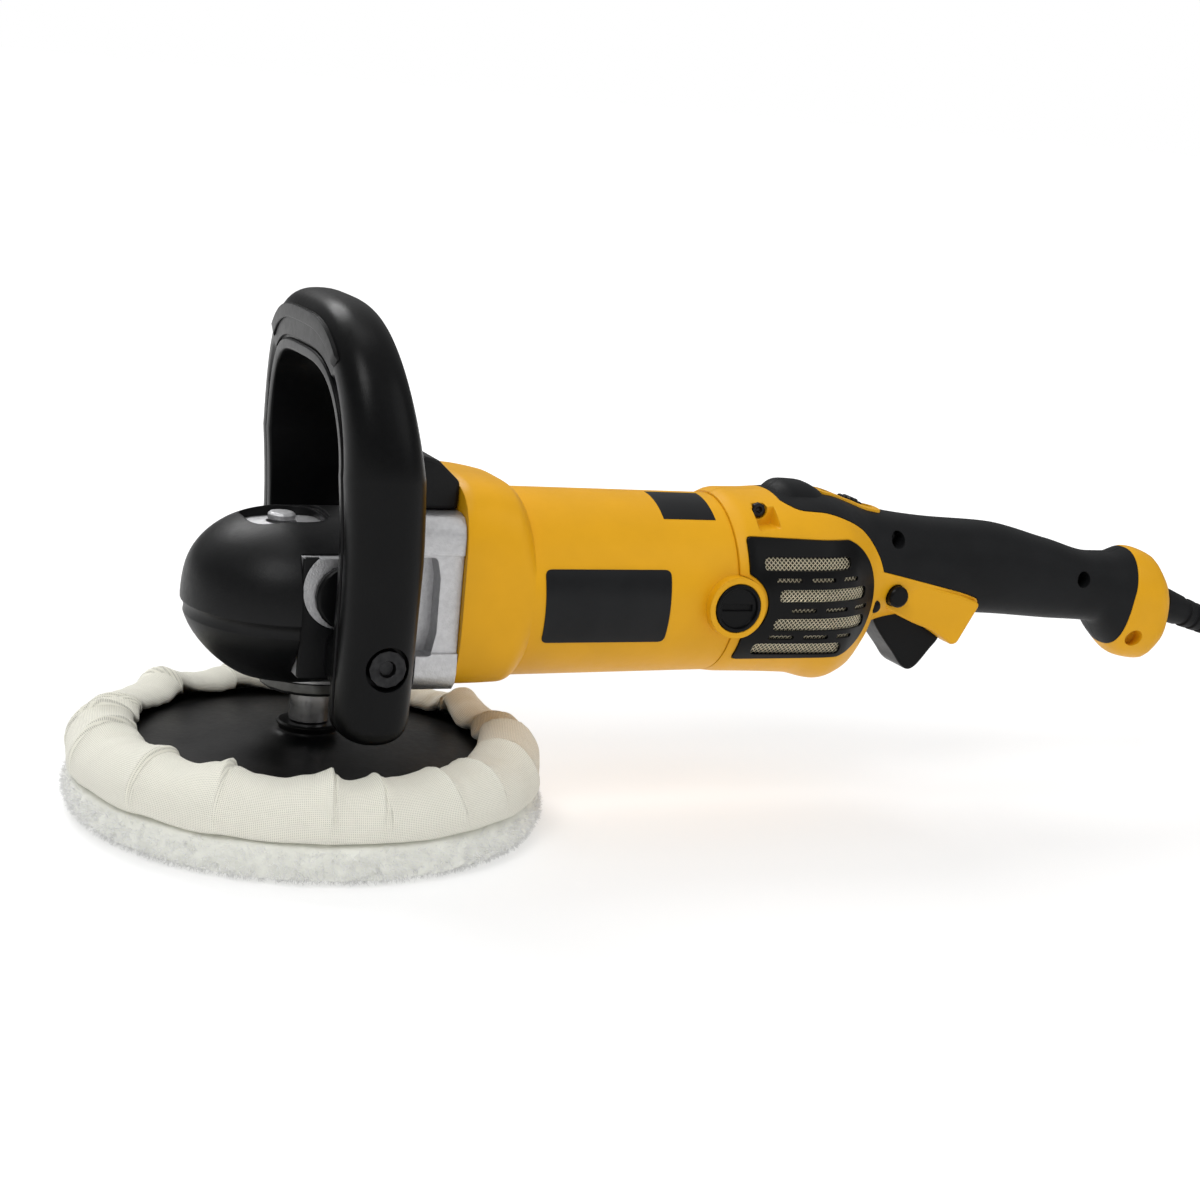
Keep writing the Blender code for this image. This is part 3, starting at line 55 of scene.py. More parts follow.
# Sizes in millimetres. Most are the solids' own; those of the bail, nose and strap were fitted here.
GAP = 0.3
AXIS = 104.0
PLATE_TOP, PLATE_UNDER, PLATE_RADIUS, PLATE_BORE = 30.3, 26.3, 89.0, 8.2
NOSE_RADIUS, NOSE_X, CASE_RISE, CASE_DROP = 48.0, -12.0, 31.0, 39.6
BOOT_WALL, BOOT_REAR = 4.5, 26.0
FLANGE_X, FLANGE_TOP, FLANGE_HALF = 33.0, 37.0, 41.0
RETAINER_RADIUS = 23.0
LOCK_X, WINDOW_HALF, WINDOW_WIDE = -18.0, 17.0, 17.5
PAD_FRONT, PAD_DROP, PAD_OVER, PAD_SHORT, PAD_HALF = 7.0, 32.0, 2.0, 3.0, 43.0
PORT_RISE, PORT_RADIUS = 3.0, 14.0
BAIL_INNER, BAIL_THICK, BAIL_WIDE, BAIL_X = 54.0, 22.4, 33.6, 7.4
BAIL_FOOT, BAIL_TOP, BAIL_SPRING = 54.5, 126.0, 57.0
BAIL_RAKE, BAIL_LEAN, BAIL_TAPER, BAIL_FLARE = 1.2, 12.0, 0.23, 0.08
BAIL_SQUARE, BAIL_RISE, BAIL_BROW, BAIL_LEG = 0.59, 1.2, 6.0, 0.95
BOLT_X, BOLT_DROP, BOLT_RADIUS = 9.5, 20.0, 4.0
HOUSING_X, COLLAR, COLLAR_HALF, HUMP_TOP = 52.3, 33.0, 43.0, 50.5
BARREL, BARREL_END, BARREL_WALL = 42.5, 41.3, 3.5
PARTING_X, SPIGOT, SPIGOT_LENGTH = 184.0, 31.0, 30.0
CORE_END, TAIL_BEARING = 154.0, 11.0
BRUSH_X, BRUSH_DROP, BRUSH_BOSS, BRUSH_REACH, CAP_RADIUS = 182.0, 2.0, 14.0, 46.0, 11.0
REAR_RADIUS, REAR_LENGTH, REAR_WALL, SQUARE = 44.1, 84.0, 3.0, 2.4
GRIP_X, GRIP_LENGTH, END_CAP = 268.0, 175.0, 25.0
END_X = GRIP_X + GRIP_LENGTH
TRIGGER_HALF, TRIGGER_PLAY = 10.0, 0.6
SCREW_HEAD, SCREW_SHANK = 3.4, 1.9
DIAL_X, DIAL_RISE, DIAL_RADIUS, DIAL_NOTCH = GRIP_X - 13.0, 30.0, 11.9, 0.8
DIAL_SLOT, DIAL_SLOT_HALF = 14.0, 5.1
LOCK_ON_X, LOCK_ON_DROP, LOCK_ON_HOLE = GRIP_X + 9.0, 2.0, 5.5
CORD_RADIUS, CORD_DROP, BOOT_LENGTH, BOOT_ROOT = 4.5, 10.0, 70.0, 8.5
CORD_SLOPE = math.radians(18)
COIL_AT = Vector((END_X + 200, -30, 6.3))
COIL_TURNS, COIL_INNER, COIL_PITCH, COIL_DIP = 3, 39.8, 9.6, 1.7
TAIL_LENGTH, PLUG_HALF = 70.0, 11.0
TIE_WIDE, TIE_THICK, TIE_SLACK = 12.0, 1.2, 0.6
SEAM = 0.18          # width left at each visible join
WIRE_INSET = 0.9     # depth of the screens below the outer skin
THROUGH = 90.0       # beyond either side of the tool

# Shares of the nose's radius and of its height above or below the motor axis
NOSE_SHAPE = ((0.0, 1.0), (0.25, 0.98), (0.465, 0.91), (0.66, 0.765), (0.825, 0.54), (0.935, 0.25),
              (0.98, -0.12), (0.965, -0.33), (0.885, -0.55), (0.745, -0.76), (0.59, -0.92), (0.48, -1.0))
# Share of the length, then top, bottom and half width as shares of the radius
REAR_RINGS = ((0.00, 0.955, -0.935, 0.96), (0.07, 1.00, -0.945, 1.00), (0.20, 1.00, -0.945, 1.00),
              (0.48, 1.02, -0.955, 0.99), (0.69, 0.99, -1.03, 0.90), (0.83, 0.915, -0.955, 0.745),
              (0.94, 0.85, -0.73, 0.60))
# Share of the length, then top, bottom and half width
GRIP_RINGS = ((0.000, 36.5, -20.0, 24.5), (0.082, 34.0, -16.0, 22.0), (0.206, 31.8, -14.0, 20.5),
              (0.391, 30.0, -15.0, 20.0), (0.597, 22.0, -17.5, 19.0), (0.761, 15.5, -19.4, 17.5),
              (0.813, 15.5, -29.0, 18.5), (0.874, 18.4, -37.5, 20.0), (0.935, 15.5, -39.0, 20.0),
              (0.972, 8.0, -33.5, 18.5), (0.990, 1.5, -25.0, 14.5), (0.996, -2.0, -19.0, 11.0))
# Thumb rest: place from the start of the grip, top and half width
HUMP_RINGS = ((-55.5, 41.0, 9.0), (-53.0, 46.0, 14.0), (-47.0, 49.0, 17.0), (-38.0, 48.6, 17.5),
              (-31.0, 46.0, 16.0), (-25.0, 41.5, 12.0))
# Handle screws: place, height, depth of the head and radius of the post round it
SCREWS = ((PARTING_X + 16, 38.0, 27.0, 9.5), (GRIP_X + 8, 24.5, 18.0, 5.6),
          (GRIP_X + 0.67 * GRIP_LENGTH, 5.0, 16.0, 5.6))
POCKET = tuple((SCREWS[0][0] + dx, SCREWS[0][1] + dz)
               for dx, dz in ((-4.6, -7.4), (6.2, -6.2), (7.2, 4.8), (-4.6, 4.8)))
POCKET_FLOOR = -21.2

# Bonnet: radius and height from the seam to the hem, radius at the seam and in the middle of the band
BONNET_PATH = ((95.0, 19.0), (99.5, 18.0), (103.0, 19.2), (104.0, 22.2), (103.8, 26.6), (101.8, 31.6),
               (98.2, 36.0), (93.6, 39.2), (87.4, 40.6), (81.4, 40.0), (77.2, 37.8), (75.6, 35.4),
               (76.6, 34.0), (80.0, 33.4))
BONNET_SEAM, BONNET_MIDDLE, BONNET_THICK, BONNET_SIDES = 95.0, 100.0, 0.45, 1080
PLATE_EDGE = 91.0    # the cloth lies on the plate inside this radius

# Camera and lights in metres. Each light has its setting, share of that power, size, place and aim.
CAMERA_AT = (-0.284082, -0.940245, 0.326483)
CAMERA_TURN = tuple(math.radians(angle) for angle in (77.0768, -5.3101, -22.4861))
CAMERA_SHIFT = (0.01012, 0.00495)
LIGHTS = {
    "key": ("key", 1.0, 0.9, (-0.75, -0.95, 1.5), (0.1, 0, 0.1)),
    "fill": ("fill", 1.0, 1.2, (1.2, -1.1, 1.0), (0.2, 0, 0.1)),
    "top": ("fill", 0.6, 0.8, (0.05, 0.15, 1.6), (0.1, 0, 0.1)),
    "back": ("back", 1.0, 0.9, (-0.25, 1.15, 1.35), (0.05, 0, 0.15)),
}


# Node trees

class Nodes:
    """A node tree; each input of a new node is given a value, or the output that feeds it."""

    def __init__(self, tree):
        self.tree = tree

    def feed(self, node, inputs):
        """Set a node's inputs, by name or number."""
        for key, value in inputs.items():
            if isinstance(value, bpy.types.NodeSocket):
                self.tree.links.new(value, node.inputs[key])
            else:
                node.inputs[key].default_value = value

    def add(self, kind, inputs=None, **settings):
        made = self.tree.nodes.new(kind)
        for key, value in settings.items():
            setattr(made, key, value)
        self.feed(made, inputs or {})
        return made

    def blend(self, factor, *stops):
        """A colour ramp between two stops, each a place and a colour."""
        made = self.add("ShaderNodeValToRGB", {"Fac": factor})
        for stop, (place, colour) in zip(made.color_ramp.elements, stops):
            stop.position, stop.color = place, (*colour, 1)
        return made.outputs["Color"]


class Look(Nodes):
    """A Principled material that is built up in layers on object coordinates."""

    def __init__(self, name, colour, rough, metal=0.0, shine=0.5, edge=0.0):
        self.material = bpy.data.materials.new(name)
        self.material.use_nodes = True
        super().__init__(self.material.node_tree)
        self.shader = self.tree.nodes["Principled BSDF"]
        self.colour = colour
        self.height = None
        self.set(Base_Color=(*colour, 1), Roughness=rough, Metallic=metal, Specular_IOR_Level=shine)
        if edge:
            self.height = self.add("ShaderNodeBevel", {"Radius": edge * MM}, samples=4).outputs["Normal"]
            self.set(Normal=self.height)

    def set(self, **values):
        self.feed(self.shader, {key.replace("_", " "): value for key, value in values.items()})
        return self

    def coords(self, stretch=(1, 1, 1), uv=False):
        place = self.add("ShaderNodeTexCoord").outputs["UV" if uv else "Object"]
        return self.add("ShaderNodeMapping", {"Scale": stretch, "Vector": place}).outputs["Vector"]

    def noise(self, scale, detail=3.0, stretch=(1, 1, 1)):
        inputs = {"Scale": scale, "Detail": detail, "Vector": self.coords(stretch)}
        return self.add("ShaderNodeTexNoise", inputs).outputs["Fac"]

    def threads(self, scale, ways, uv=False, wobble=0.0):
        """Two sets of crossing bands, as the higher of the two."""
        over = self.add("ShaderNodeMath", operation="MAXIMUM")
        for n, stretch in enumerate(ways):
            inputs = {"Scale": scale, "Distortion": wobble, "Vector": self.coords(stretch, uv)}
            wave = self.add("ShaderNodeTexWave", inputs, wave_type="BANDS", bands_direction="DIAGONAL")
            self.feed(over, {n: wave.outputs["Fac"]})
        return over.outputs["Value"]

    def tint(self, factor, other, low=0.35, high=0.65):
        """Blend the colour towards another where a factor is high."""
        return self.set(Base_Color=self.blend(factor, (low, self.colour), (high, other)))

    def polish(self, factor, low, high):
        spread = self.add("ShaderNodeMapRange", {"Value": factor, "To Min": low, "To Max": high})
        return self.set(Roughness=spread.outputs["Result"])

    def bump(self, factor, strength, depth):
        made = self.add("ShaderNodeBump", {"Strength": strength, "Distance": depth, "Height": factor})
        if self.height:
            self.feed(made, {"Normal": self.height})
        self.height = made.outputs["Normal"]
        return self.set(Normal=self.height)

    def glow(self, near, far, low, high):
        """Give off more light further from the middle."""
        long = self.add("ShaderNodeVectorMath", {0: self.coords()}, operation="LENGTH")
        spread = self.add("ShaderNodeMapRange", {"Value": long.outputs["Value"], "From Min": near,
                                                 "From Max": far, "To Min": low, "To Max": high})
        self.set(Emission_Strength=spread.outputs["Result"])


def plastic(name, colour, other, rough, shine, edge, grain, depth):
    look = Look(name, colour, rough, 0.0, shine, edge)
    look.tint(look.noise(40, 4), other)
    look.polish(look.noise(320, 3), rough - 0.07, rough + 0.09)
    look.bump(look.noise(grain, 2), depth, 0.0002)
    return look


def metal(name, colour, other, rough, scale, stretch=(1, 1, 1), grain=0, edge=0.3):
    look = Look(name, colour, rough, 1.0, 0.5, edge)
    look.tint(look.noise(scale, 4, stretch), other)
    look.polish(look.noise(scale * 3, 3, stretch), rough - 0.07, rough + 0.12)
    if grain:
        look.bump(look.noise(grain, 4), 0.45, 0.0004)
    return look


def shade(colour, share):
    return tuple(c * share for c in colour)


def plastics(colours):
    """Two colours, roughness, shine, edge rounding in millimetres, grain scale and grain depth."""
    return {
        "yellow": plastic("yellow_nylon", colours.shell, shade(colours.shell, 0.94),
                          0.42, 0.22, 0.7, 2400, 0.10),
        "grip": plastic("grip_rubber", colours.grip, shade(colours.grip, 1.4),
                        0.5, 0.11, 0.6, 1700, 0.25),
        "boot": plastic("boot_rubber", (0.0036, 0.0038, 0.0042), (0.0065, 0.0067, 0.0072),
                        0.40, 0.17, 0.9, 1200, 0.25),
        "black": plastic("black_nylon", colours.moulding, shade(colours.moulding, 1.4),
                         0.31, 0.12, 0.5, 1300, 0.16),
        "plate": plastic("plate_rubber", (0.0025, 0.0025, 0.0028), (0.014, 0.0137, 0.0134),
                         0.34, 0.15, 0.5, 700, 0.22),
        "cable": plastic("cable_rubber", (0.007, 0.007, 0.0073), (0.010, 0.010, 0.010),
                         0.46, 0.2, 0.0, 1600, 0.12),
        "bare_plate": plastic("bare_plate", (0.0075, 0.008, 0.009), (0.0105, 0.011, 0.012),
                              0.34, 0.15, 0.3, 1500, 0.05),
        "carbon": plastic("carbon", (0.03, 0.03, 0.03), (0.05, 0.05, 0.05),
                          0.7, 0.3, 0.0, 900, 0.3),
    }


def metals():
    """Two colours, roughness and mottle scale, then any stretch, cast grain and edge rounding."""
    return {
        "alloy": metal("cast_alloy", (0.60, 0.60, 0.61), (0.53, 0.53, 0.54), 0.44, 420, (1, 1, 1), 1250, 0.6),
        "steel": metal("turned_steel", (0.74, 0.74, 0.76), (0.66, 0.66, 0.68), 0.2, 60, (1, 1, 9)),
        "screw": metal("blacked_steel", (0.02, 0.02, 0.021), (0.035, 0.035, 0.036), 0.36, 300),
        # Painted shade: the bearing retainer's alloy is darkened for the shadow round the spindle below the
        # gear case.
        "dark": metal("dark_alloy", (0.16, 0.16, 0.155), (0.11, 0.11, 0.105), 0.42, 150),
        "wire": metal("screen_wire", (0.80, 0.73, 0.55), (0.70, 0.64, 0.48), 0.3, 300, edge=0.0),
        "brass": metal("plain_brass", (0.72, 0.53, 0.24), (0.62, 0.44, 0.19), 0.3, 150),
        "copper": metal("copper", (0.62, 0.29, 0.15), (0.45, 0.20, 0.10), 0.36, 120),
    }


def fabrics(colours):
    """Painted shade behind the screens' wires (a dark sheet with a fine weave that stands for the shadowed
    inside seen through the gaps), muslin and lambswool.
    """
    # Painted shade: this dark colour stands for the shadow inside the housing, seen between the wires.
    mesh = Look("fine_gauze", (0.02, 0.018, 0.015), 0.5, 1.0)
    over = mesh.threads(900, ((1, 0, 0), (0, 0, 1)), wobble=0.3)
    mesh.tint(over, (0.10, 0.09, 0.07), 0.3, 0.75).bump(over, 0.8, 0.0006)
    cloth = Look("muslin", shade(colours.cloth, 0.62), 0.92, 0.0, 0.15)
    over = cloth.threads(1.0, ((1, 0, 0), (0, 1, 0)), uv=True, wobble=0.5)
    cloth.tint(over, colours.cloth, 0.2, 0.6).bump(over, 0.6, 0.0004)
    cloth.bump(cloth.noise(160, 4), 0.2, 0.0008).set(Sheen_Weight=0.2, Sheen_Roughness=0.5)
    wool = Look("lambswool", shade(colours.wool, 0.9), 0.95, 0.0, 0.1)
    wool.tint(wool.noise(170, 5), colours.wool, 0.3, 0.7).bump(wool.noise(800, 5), 0.3, 0.0008)
    wool.set(Sheen_Weight=0.3, Sheen_Roughness=0.45, Subsurface_Weight=0.5, Subsurface_Scale=0.005,
             Subsurface_Radius=(1.0, 1.0, 1.0))
    return {"mesh": mesh, "cloth": cloth, "wool": wool}


def floor_look():
    """Pale near the tool, where its shadow falls, and white further off."""
    floor = Look("pale_floor", (0.55, 0.55, 0.55), 0.8, 0.0, 0.1)
    floor.tint(floor.noise(3, 2), (0.56, 0.56, 0.56))
    floor.set(Emission_Color=(1, 1, 1, 1))
    floor.glow(0.3, 1.3, 0.46, 0.8)
    return floor


def make_looks(colours):
    looks = {**plastics(colours), **metals(), **fabrics(colours), "floor": floor_look()}
    return {name: look.material for name, look in looks.items()}


LOOKS = {}
NODE_LOOKS = {
    "yellow": ("motor_housing", "rear_housing_left", "rear_housing_right", "handle_end_cap"),
    "grip": ("grip_left", "grip_right", "cord_boot"),
    "boot": ("gear_case_boot",),
    "black": ("bail_handle", "side_port_plug_left", "side_port_plug_right", "brush_cap_left",
              "brush_cap_right", "trigger", "lock_on_button", "speed_dial", "switch_body",
              "filter_frame_left", "filter_frame_right", "cooling_fan"),
    "plate": ("backing_plate",),
    "alloy": ("gear_case", "spindle_lock_button"),
    # Painted shade: the bearing retainer is coloured dark for the shadow that falls on it.
    "dark": ("bearing_retainer",),
    "screw": ("bail_bolt_left", "bail_bolt_right", "handle_screw_1", "handle_screw_2", "handle_screw_3",
              "flange_screw_1", "flange_screw_2", "flange_screw_3", "flange_screw_4"),
    # The screens under the wires take the dark backing, which is painted shade.
    "mesh": ("filter_mesh_left", "filter_mesh_right"),
    "copper": ("commutator", "stator"),
    "brass": ("brush_holder_left", "brush_holder_right", "plug_blade_1", "plug_blade_2"),
    "carbon": ("carbon_brush_left", "carbon_brush_right"),
    "cable": ("cord_tie", "plug_body"),
}


# Shapes. Points are in millimetres; meshes are stored in metres.

SHOP = []


def put(name, data):
    """A new object in the scene."""
    made = bpy.data.objects.new(name, data)
    bpy.context.scene.collection.objects.link(made)
    return made


def add_mesh(name, verts, faces, look=None):
    """A new object; without a look it is a cutter that is cleared away later."""
    data = bpy.data.meshes.new(name)
    data.from_pydata([tuple(c * MM for c in v) for v in verts], [], faces)
    work = bmesh.new()
    work.from_mesh(data)
    bmesh.ops.remove_doubles(work, verts=work.verts, dist=1e-7)
    bmesh.ops.recalc_face_normals(work, faces=work.faces)
    work.to_mesh(data)
    work.free()
    if look:
        data.materials.append(LOOKS[look])
    made = put(name, data)
    if not look:
        SHOP.append(made)
    return made


def grid(rows, count, joined=False, closed=False):
    """Faces between rows of points; the last row may join the first, and each row may close up."""
    faces = []
    for a in range(rows if joined else rows - 1):
        b = (a + 1) % rows
        for i in range(count if closed else count - 1):
            j = (i + 1) % count
            faces.append((a * count + i, a * count + j, b * count + j, b * count + i))
    return faces


def loft(name, rings, look=None, joined=False):
    """A skin through rings of equal count, capped at its ends unless it joins up."""
    rows, count = len(rings), len(rings[0])
    faces = grid(rows, count, joined, True)
    if not joined:
        faces.append(tuple(range(count)))
        faces.append(tuple((rows - 1) * count + i for i in range(count)))
    return add_mesh(name, [p for ring in rings for p in ring], faces, look)


def block(name, low, high):
    """A box between two corners."""
    xs, ys, zs = zip(low, high)
    ring = [(0, 0), (1, 0), (1, 1), (0, 1)]
    return loft(name, [[(xs[i], ys[j], z) for i, j in ring] for z in zs])


def pulled(name, outline, low, high, look=None, axis="Y", soft=0.0):
    """An outline pulled along Y (points are x and height) or along Z (points are x and y)."""
    if axis == "Y":
        rings = [[(x, y, AXIS + z) for x, z in outline] for y in (low, high)]
    else:
        rings = [[(x, y, AXIS + z) for x, y in outline] for z in (low, high)]
    made = loft(name, rings, look)
    if soft:
        bevel(made, soft, 4, 50)
        bake(made)
    return made


def lathe(name, profile, turn, sides=72, look=None):
    """A closed profile of (radius, along) turned about its axis, then placed by a matrix."""
    rings = []
    for i in range(sides):
        a = 2 * math.pi * i / sides
        rings.append([turn @ Vector((r * math.cos(a), r * math.sin(a), h)) for r, h in profile])
    return loft(name, rings, look, joined=True)


def along_axis(axis, at):
    turns = {"X": Matrix.Rotation(math.pi / 2, 4, "Y"), "Y": Matrix.Rotation(-math.pi / 2, 4, "X"),
             "Z": Matrix.Identity(4)}
    return Matrix.Translation(at) @ turns[axis]


def rod(name, axis, radius, start, end, at, sides=48):
    """A round cutter along an axis through a place."""
    turn = along_axis(axis, at)
    rings = []
    for h in (start, end):
        ring = [2 * math.pi * i / sides for i in range(sides)]
        rings.append([turn @ Vector((radius * math.cos(a), radius * math.sin(a), h)) for a in ring])
    return loft(name, rings)


def span(side, a, b):
    """Two distances from the middle plane on one side (-1 or 1), the lower first."""
    return sorted((side * a, side * b))


def bevel(thing, width, segments, angle):
    """Round the edges that turn by more than an angle in degrees."""
    step = thing.modifiers.new("soft", "BEVEL")
    step.width = width * MM
    step.segments = segments
    step.limit_method = "ANGLE"
    step.angle_limit = math.radians(angle)


def thicken(thing, thick):
    """Give a sheet its thickness, inwards."""
    step = thing.modifiers.new("thick", "SOLIDIFY")
    step.thickness = thick * MM
    step.offset = -1
    return bake(thing)


def all_smooth(thing):
    thing.data.polygons.foreach_set("use_smooth", [True] * len(thing.data.polygons))


def cut(thing, other, how="DIFFERENCE"):
    """Queue a boolean, which bake() then carries out."""
    step = thing.modifiers.new(how.lower(), "BOOLEAN")
    step.operation = how
    step.solver = "MANIFOLD"
    step.object = other


def bake(thing):
    """Replace an object's modifiers by the mesh that they make."""
    graph = bpy.context.evaluated_depsgraph_get()
    data = bpy.data.meshes.new_from_object(thing.evaluated_get(graph))
    thing.modifiers.clear()
    thing.data = data
    return thing


def copy_of(thing, name, look):
    made = put(name, thing.data.copy())
    made.data.materials.clear()
    made.data.materials.append(LOOKS[look])
    return made


def merged(thing):
    """Join the loose triangles of a copied CAD mesh."""
    work = bmesh.new()
    work.from_mesh(thing.data)
    bmesh.ops.remove_doubles(work, verts=work.verts, dist=1e-6)
    work.to_mesh(thing.data)
    work.free()
    return thing


def clear_shop():
    """Remove the cutters."""
    for thing in SHOP:
        bpy.data.objects.remove(thing, do_unlink=True)
    SHOP.clear()


def smooth(thing, angle=33):
    """Smooth faces, with the real edges kept sharp."""
    work = bmesh.new()
    work.from_mesh(thing.data)
    bmesh.ops.dissolve_degenerate(work, dist=2e-6, edges=work.edges)
    limit = math.radians(angle)
    for face in work.faces:
        face.smooth = True
        face.material_index = 0
    for edge in work.edges:
        edge.smooth = len(edge.link_faces) == 2 and edge.calc_face_angle(0) < limit
    work.to_mesh(thing.data)
    work.free()
    step = thing.modifiers.new("shade", "WEIGHTED_NORMAL")
    step.keep_sharp = True
    return bake(thing)


def fit(thing, look, body, *nodes):
    """Attach a finished piece to its body and hide the CAD nodes that it replaces."""
    if thing.type == "MESH" and not thing.data.polygons:
        raise RuntimeError(thing.name + " came out empty")
    while len(thing.data.materials) > 1:
        thing.data.materials.pop(index=len(thing.data.materials) - 1)
    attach(thing, body)
    if nodes:
        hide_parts(*nodes)
    return thing


class Tree(Nodes):
    """A Geometry Nodes tree whose named inputs are set on the object that uses it."""

    def __init__(self, name, **inputs):
        super().__init__(bpy.data.node_groups.new(name, "GeometryNodeTree"))
        sockets = self.tree.interface
        sockets.new_socket("Geometry", in_out="INPUT", socket_type="NodeSocketGeometry")
        self.names = {}
        for key, kind in inputs.items():
            socket = sockets.new_socket(key, in_out="INPUT", socket_type="NodeSocket" + kind)
            self.names[key] = socket.identifier
        sockets.new_socket("Geometry", in_out="OUTPUT", socket_type="NodeSocketGeometry")
        self.inlet = self.add("NodeGroupInput").outputs

    def finish(self, geometry, look):
        """Realise the instances, give them their look and end the tree."""
        real = self.add("GeometryNodeRealizeInstances", {"Geometry": geometry}).outputs["Geometry"]
        paint = self.add("GeometryNodeSetMaterial", {"Geometry": real, "Material": LOOKS[look]})
        self.add("NodeGroupOutput", {"Geometry": paint.outputs["Geometry"]})

    def run(self, thing, **values):
        """Put the tree on an object, set its inputs and keep the mesh that it makes."""
        step = thing.modifiers.new("nodes", "NODES")
        step.node_group = self.tree
        for key, value in values.items():
            step[self.names[key]] = value
        all_smooth(bake(thing))
        return thing


# Curves

def arc(x, z, radius, start, end, count):
    """Points round a circle between two angles in degrees."""
    steps = [math.radians(start + (end - start) * i / (count - 1)) for i in range(count)]
    return [(x + radius * math.cos(a), z + radius * math.sin(a)) for a in steps]


def curve(points, steps=6):
    """A smooth line through every point."""
    line = []
    for i in range(len(points) - 1):
        a, b, c, d = [Vector(points[max(0, min(len(points) - 1, k))]) for k in (i - 1, i, i + 1, i + 2)]
        for s in range(steps):
            t = s / steps
            line.append(tuple(0.5 * (2 * b + (c - a) * t + (2 * a - 5 * b + 4 * c - d) * t * t
                                     + (3 * b - a - 3 * c + d) * t ** 3)))
    return line + [tuple(points[-1])]


def fillet(outline, radius, steps=5):
    """Round the corners of a closed outline."""
    done = []
    count = len(outline)
    for i in range(count):
        here = Vector(outline[i])
        back = Vector(outline[i - 1]) - here
        on = Vector(outline[(i + 1) % count]) - here
        turn = math.pi - back.angle(on)
        if turn < math.radians(25):
            done.append(tuple(here))
            continue
        reach = min(radius * math.tan(turn / 2), 0.45 * back.length, 0.45 * on.length)
        a, b = here + back.normalized() * reach, here + on.normalized() * reach
        for s in range(steps + 1):
            t = s / steps
            done.append(tuple(a * (1 - t) ** 2 + here * 2 * t * (1 - t) + b * t * t))
    return done


def rectangle(x0, z0, x1, z1, radius, steps=5):
    """A rounded oblong outline."""
    return fillet(((x0, z0), (x1, z0), (x1, z1), (x0, z1)), radius, steps)


def ramp(value, start, width):
    """Rises from 0 to 1 over a width."""
    return min(1.0, max(0.0, (value - start) / width))


def flowing(rows, count):
    """Fill in rows of (place, values) by curves that never pass their neighbours."""
    xs = [row[0] for row in rows]
    last = len(rows) - 1
    slopes = []
    for k in range(1, len(rows[0])):
        rise = [(rows[i + 1][k] - rows[i][k]) / (xs[i + 1] - xs[i]) for i in range(last)]
        inner = [0.0 if a * b <= 0 else 2 * a * b / (a + b) for a, b in zip(rise, rise[1:])]
        slopes.append([rise[0]] + inner + [rise[-1]])
    done = []
    for j in range(count + 1):
        x = xs[0] + (xs[-1] - xs[0]) * j / count
        i = max(0, min(last - 1, bisect.bisect_right(xs, x) - 1))
        wide = xs[i + 1] - xs[i]
        t = (x - xs[i]) / wide
        row = [x]
        for k, slope in enumerate(slopes, 1):
            row.append(rows[i][k] * (2 * t ** 3 - 3 * t * t + 1) + wide * slope[i] * (t ** 3 - 2 * t * t + t)
                       + rows[i + 1][k] * (3 * t * t - 2 * t ** 3) + wide * slope[i + 1] * (t ** 3 - t * t))
        done.append(row)
    return done


def oval(x, top, bottom, half, power, count, inset=0.0):
    """A squared oval ring across the motor axis."""
    middle, high, wide = (top + bottom) / 2, (top - bottom) / 2 - inset, half - inset
    ring = []
    for i in range(count):
        a = 2 * math.pi * (i + 0.5) / count
        c, s = math.cos(a), math.sin(a)
        ring.append((x, wide * math.copysign(abs(c) ** (2 / power), c),
                     AXIS + middle + high * math.copysign(abs(s) ** (2 / power), s)))
    return ring


def hermite(start, start_way, end, end_way, count):
    """A line between two places that leaves and arrives in given ways."""
    points = []
    for i in range(count + 1):
        t = i / count
        points.append(start * (2 * t ** 3 - 3 * t ** 2 + 1) + start_way * (t ** 3 - 2 * t ** 2 + t)
                      + end * (3 * t ** 2 - 2 * t ** 3) + end_way * (t ** 3 - t ** 2))
    return points


# Settings

def colour(name, value, words):
    return FloatVectorProperty(name=name, subtype="COLOR", default=value, min=0, max=1, description=words)


class PolisherColours(bpy.types.PropertyGroup):
    """Colours of the materials that carry most of the look"""
    shell: colour("Shell", (0.74, 0.365, 0.005), "Nylon of the housings and the end cap")
    grip: colour("Grip", (0.0075, 0.0079, 0.0086), "Rubber of the grip")
    moulding: colour("Moulding", (0.0022, 0.0023, 0.0025), "Nylon of the bail, trigger and filter frames")
    cloth: colour("Cloth", (0.89, 0.875, 0.77), "Muslin of the bonnet")
    wool: colour("Wool", (0.88, 0.885, 0.82), "Wool of the pad")


class PolisherStage(bpy.types.PropertyGroup):
    """Camera and lights"""
    lens: FloatProperty(name="Lens", default=69.07, unit="CAMERA", description="Focal length of the camera")
    key: FloatProperty(name="Key light", default=13.0, unit="POWER", description="Power of the main light")
    fill: FloatProperty(name="Fill light", default=4.0, unit="POWER",
                        description="Power of the fill and top lights")
    back: FloatProperty(name="Back light", default=13.0, unit="POWER",
                        description="Power of the light behind")
    sky: FloatProperty(name="Sky", default=0.58, description="Strength of the white surroundings")


class PolisherShells(bpy.types.PropertyGroup):
    """Fineness of the rear shells"""
    around: IntProperty(name="Sides", default=80, description="Sides of each ring of the rear shells")
    stations: IntProperty(name="Rings", default=130, description="Rings along the rear shells")


class PolisherScreen(bpy.types.PropertyGroup):
    """Woven wire of the intake filters"""
    pitch: FloatProperty(name="Pitch", default=0.0015, unit="LENGTH",
                         description="Spacing of the screen's wires")
    wire: FloatProperty(name="Wire", default=0.00022, unit="LENGTH", description="Radius of one wire")


class PolisherLead(bpy.types.PropertyGroup):
    """Power cord"""
    ribs: IntProperty(name="Ribs", default=7, min=1, description="Ribs round the cord boot")


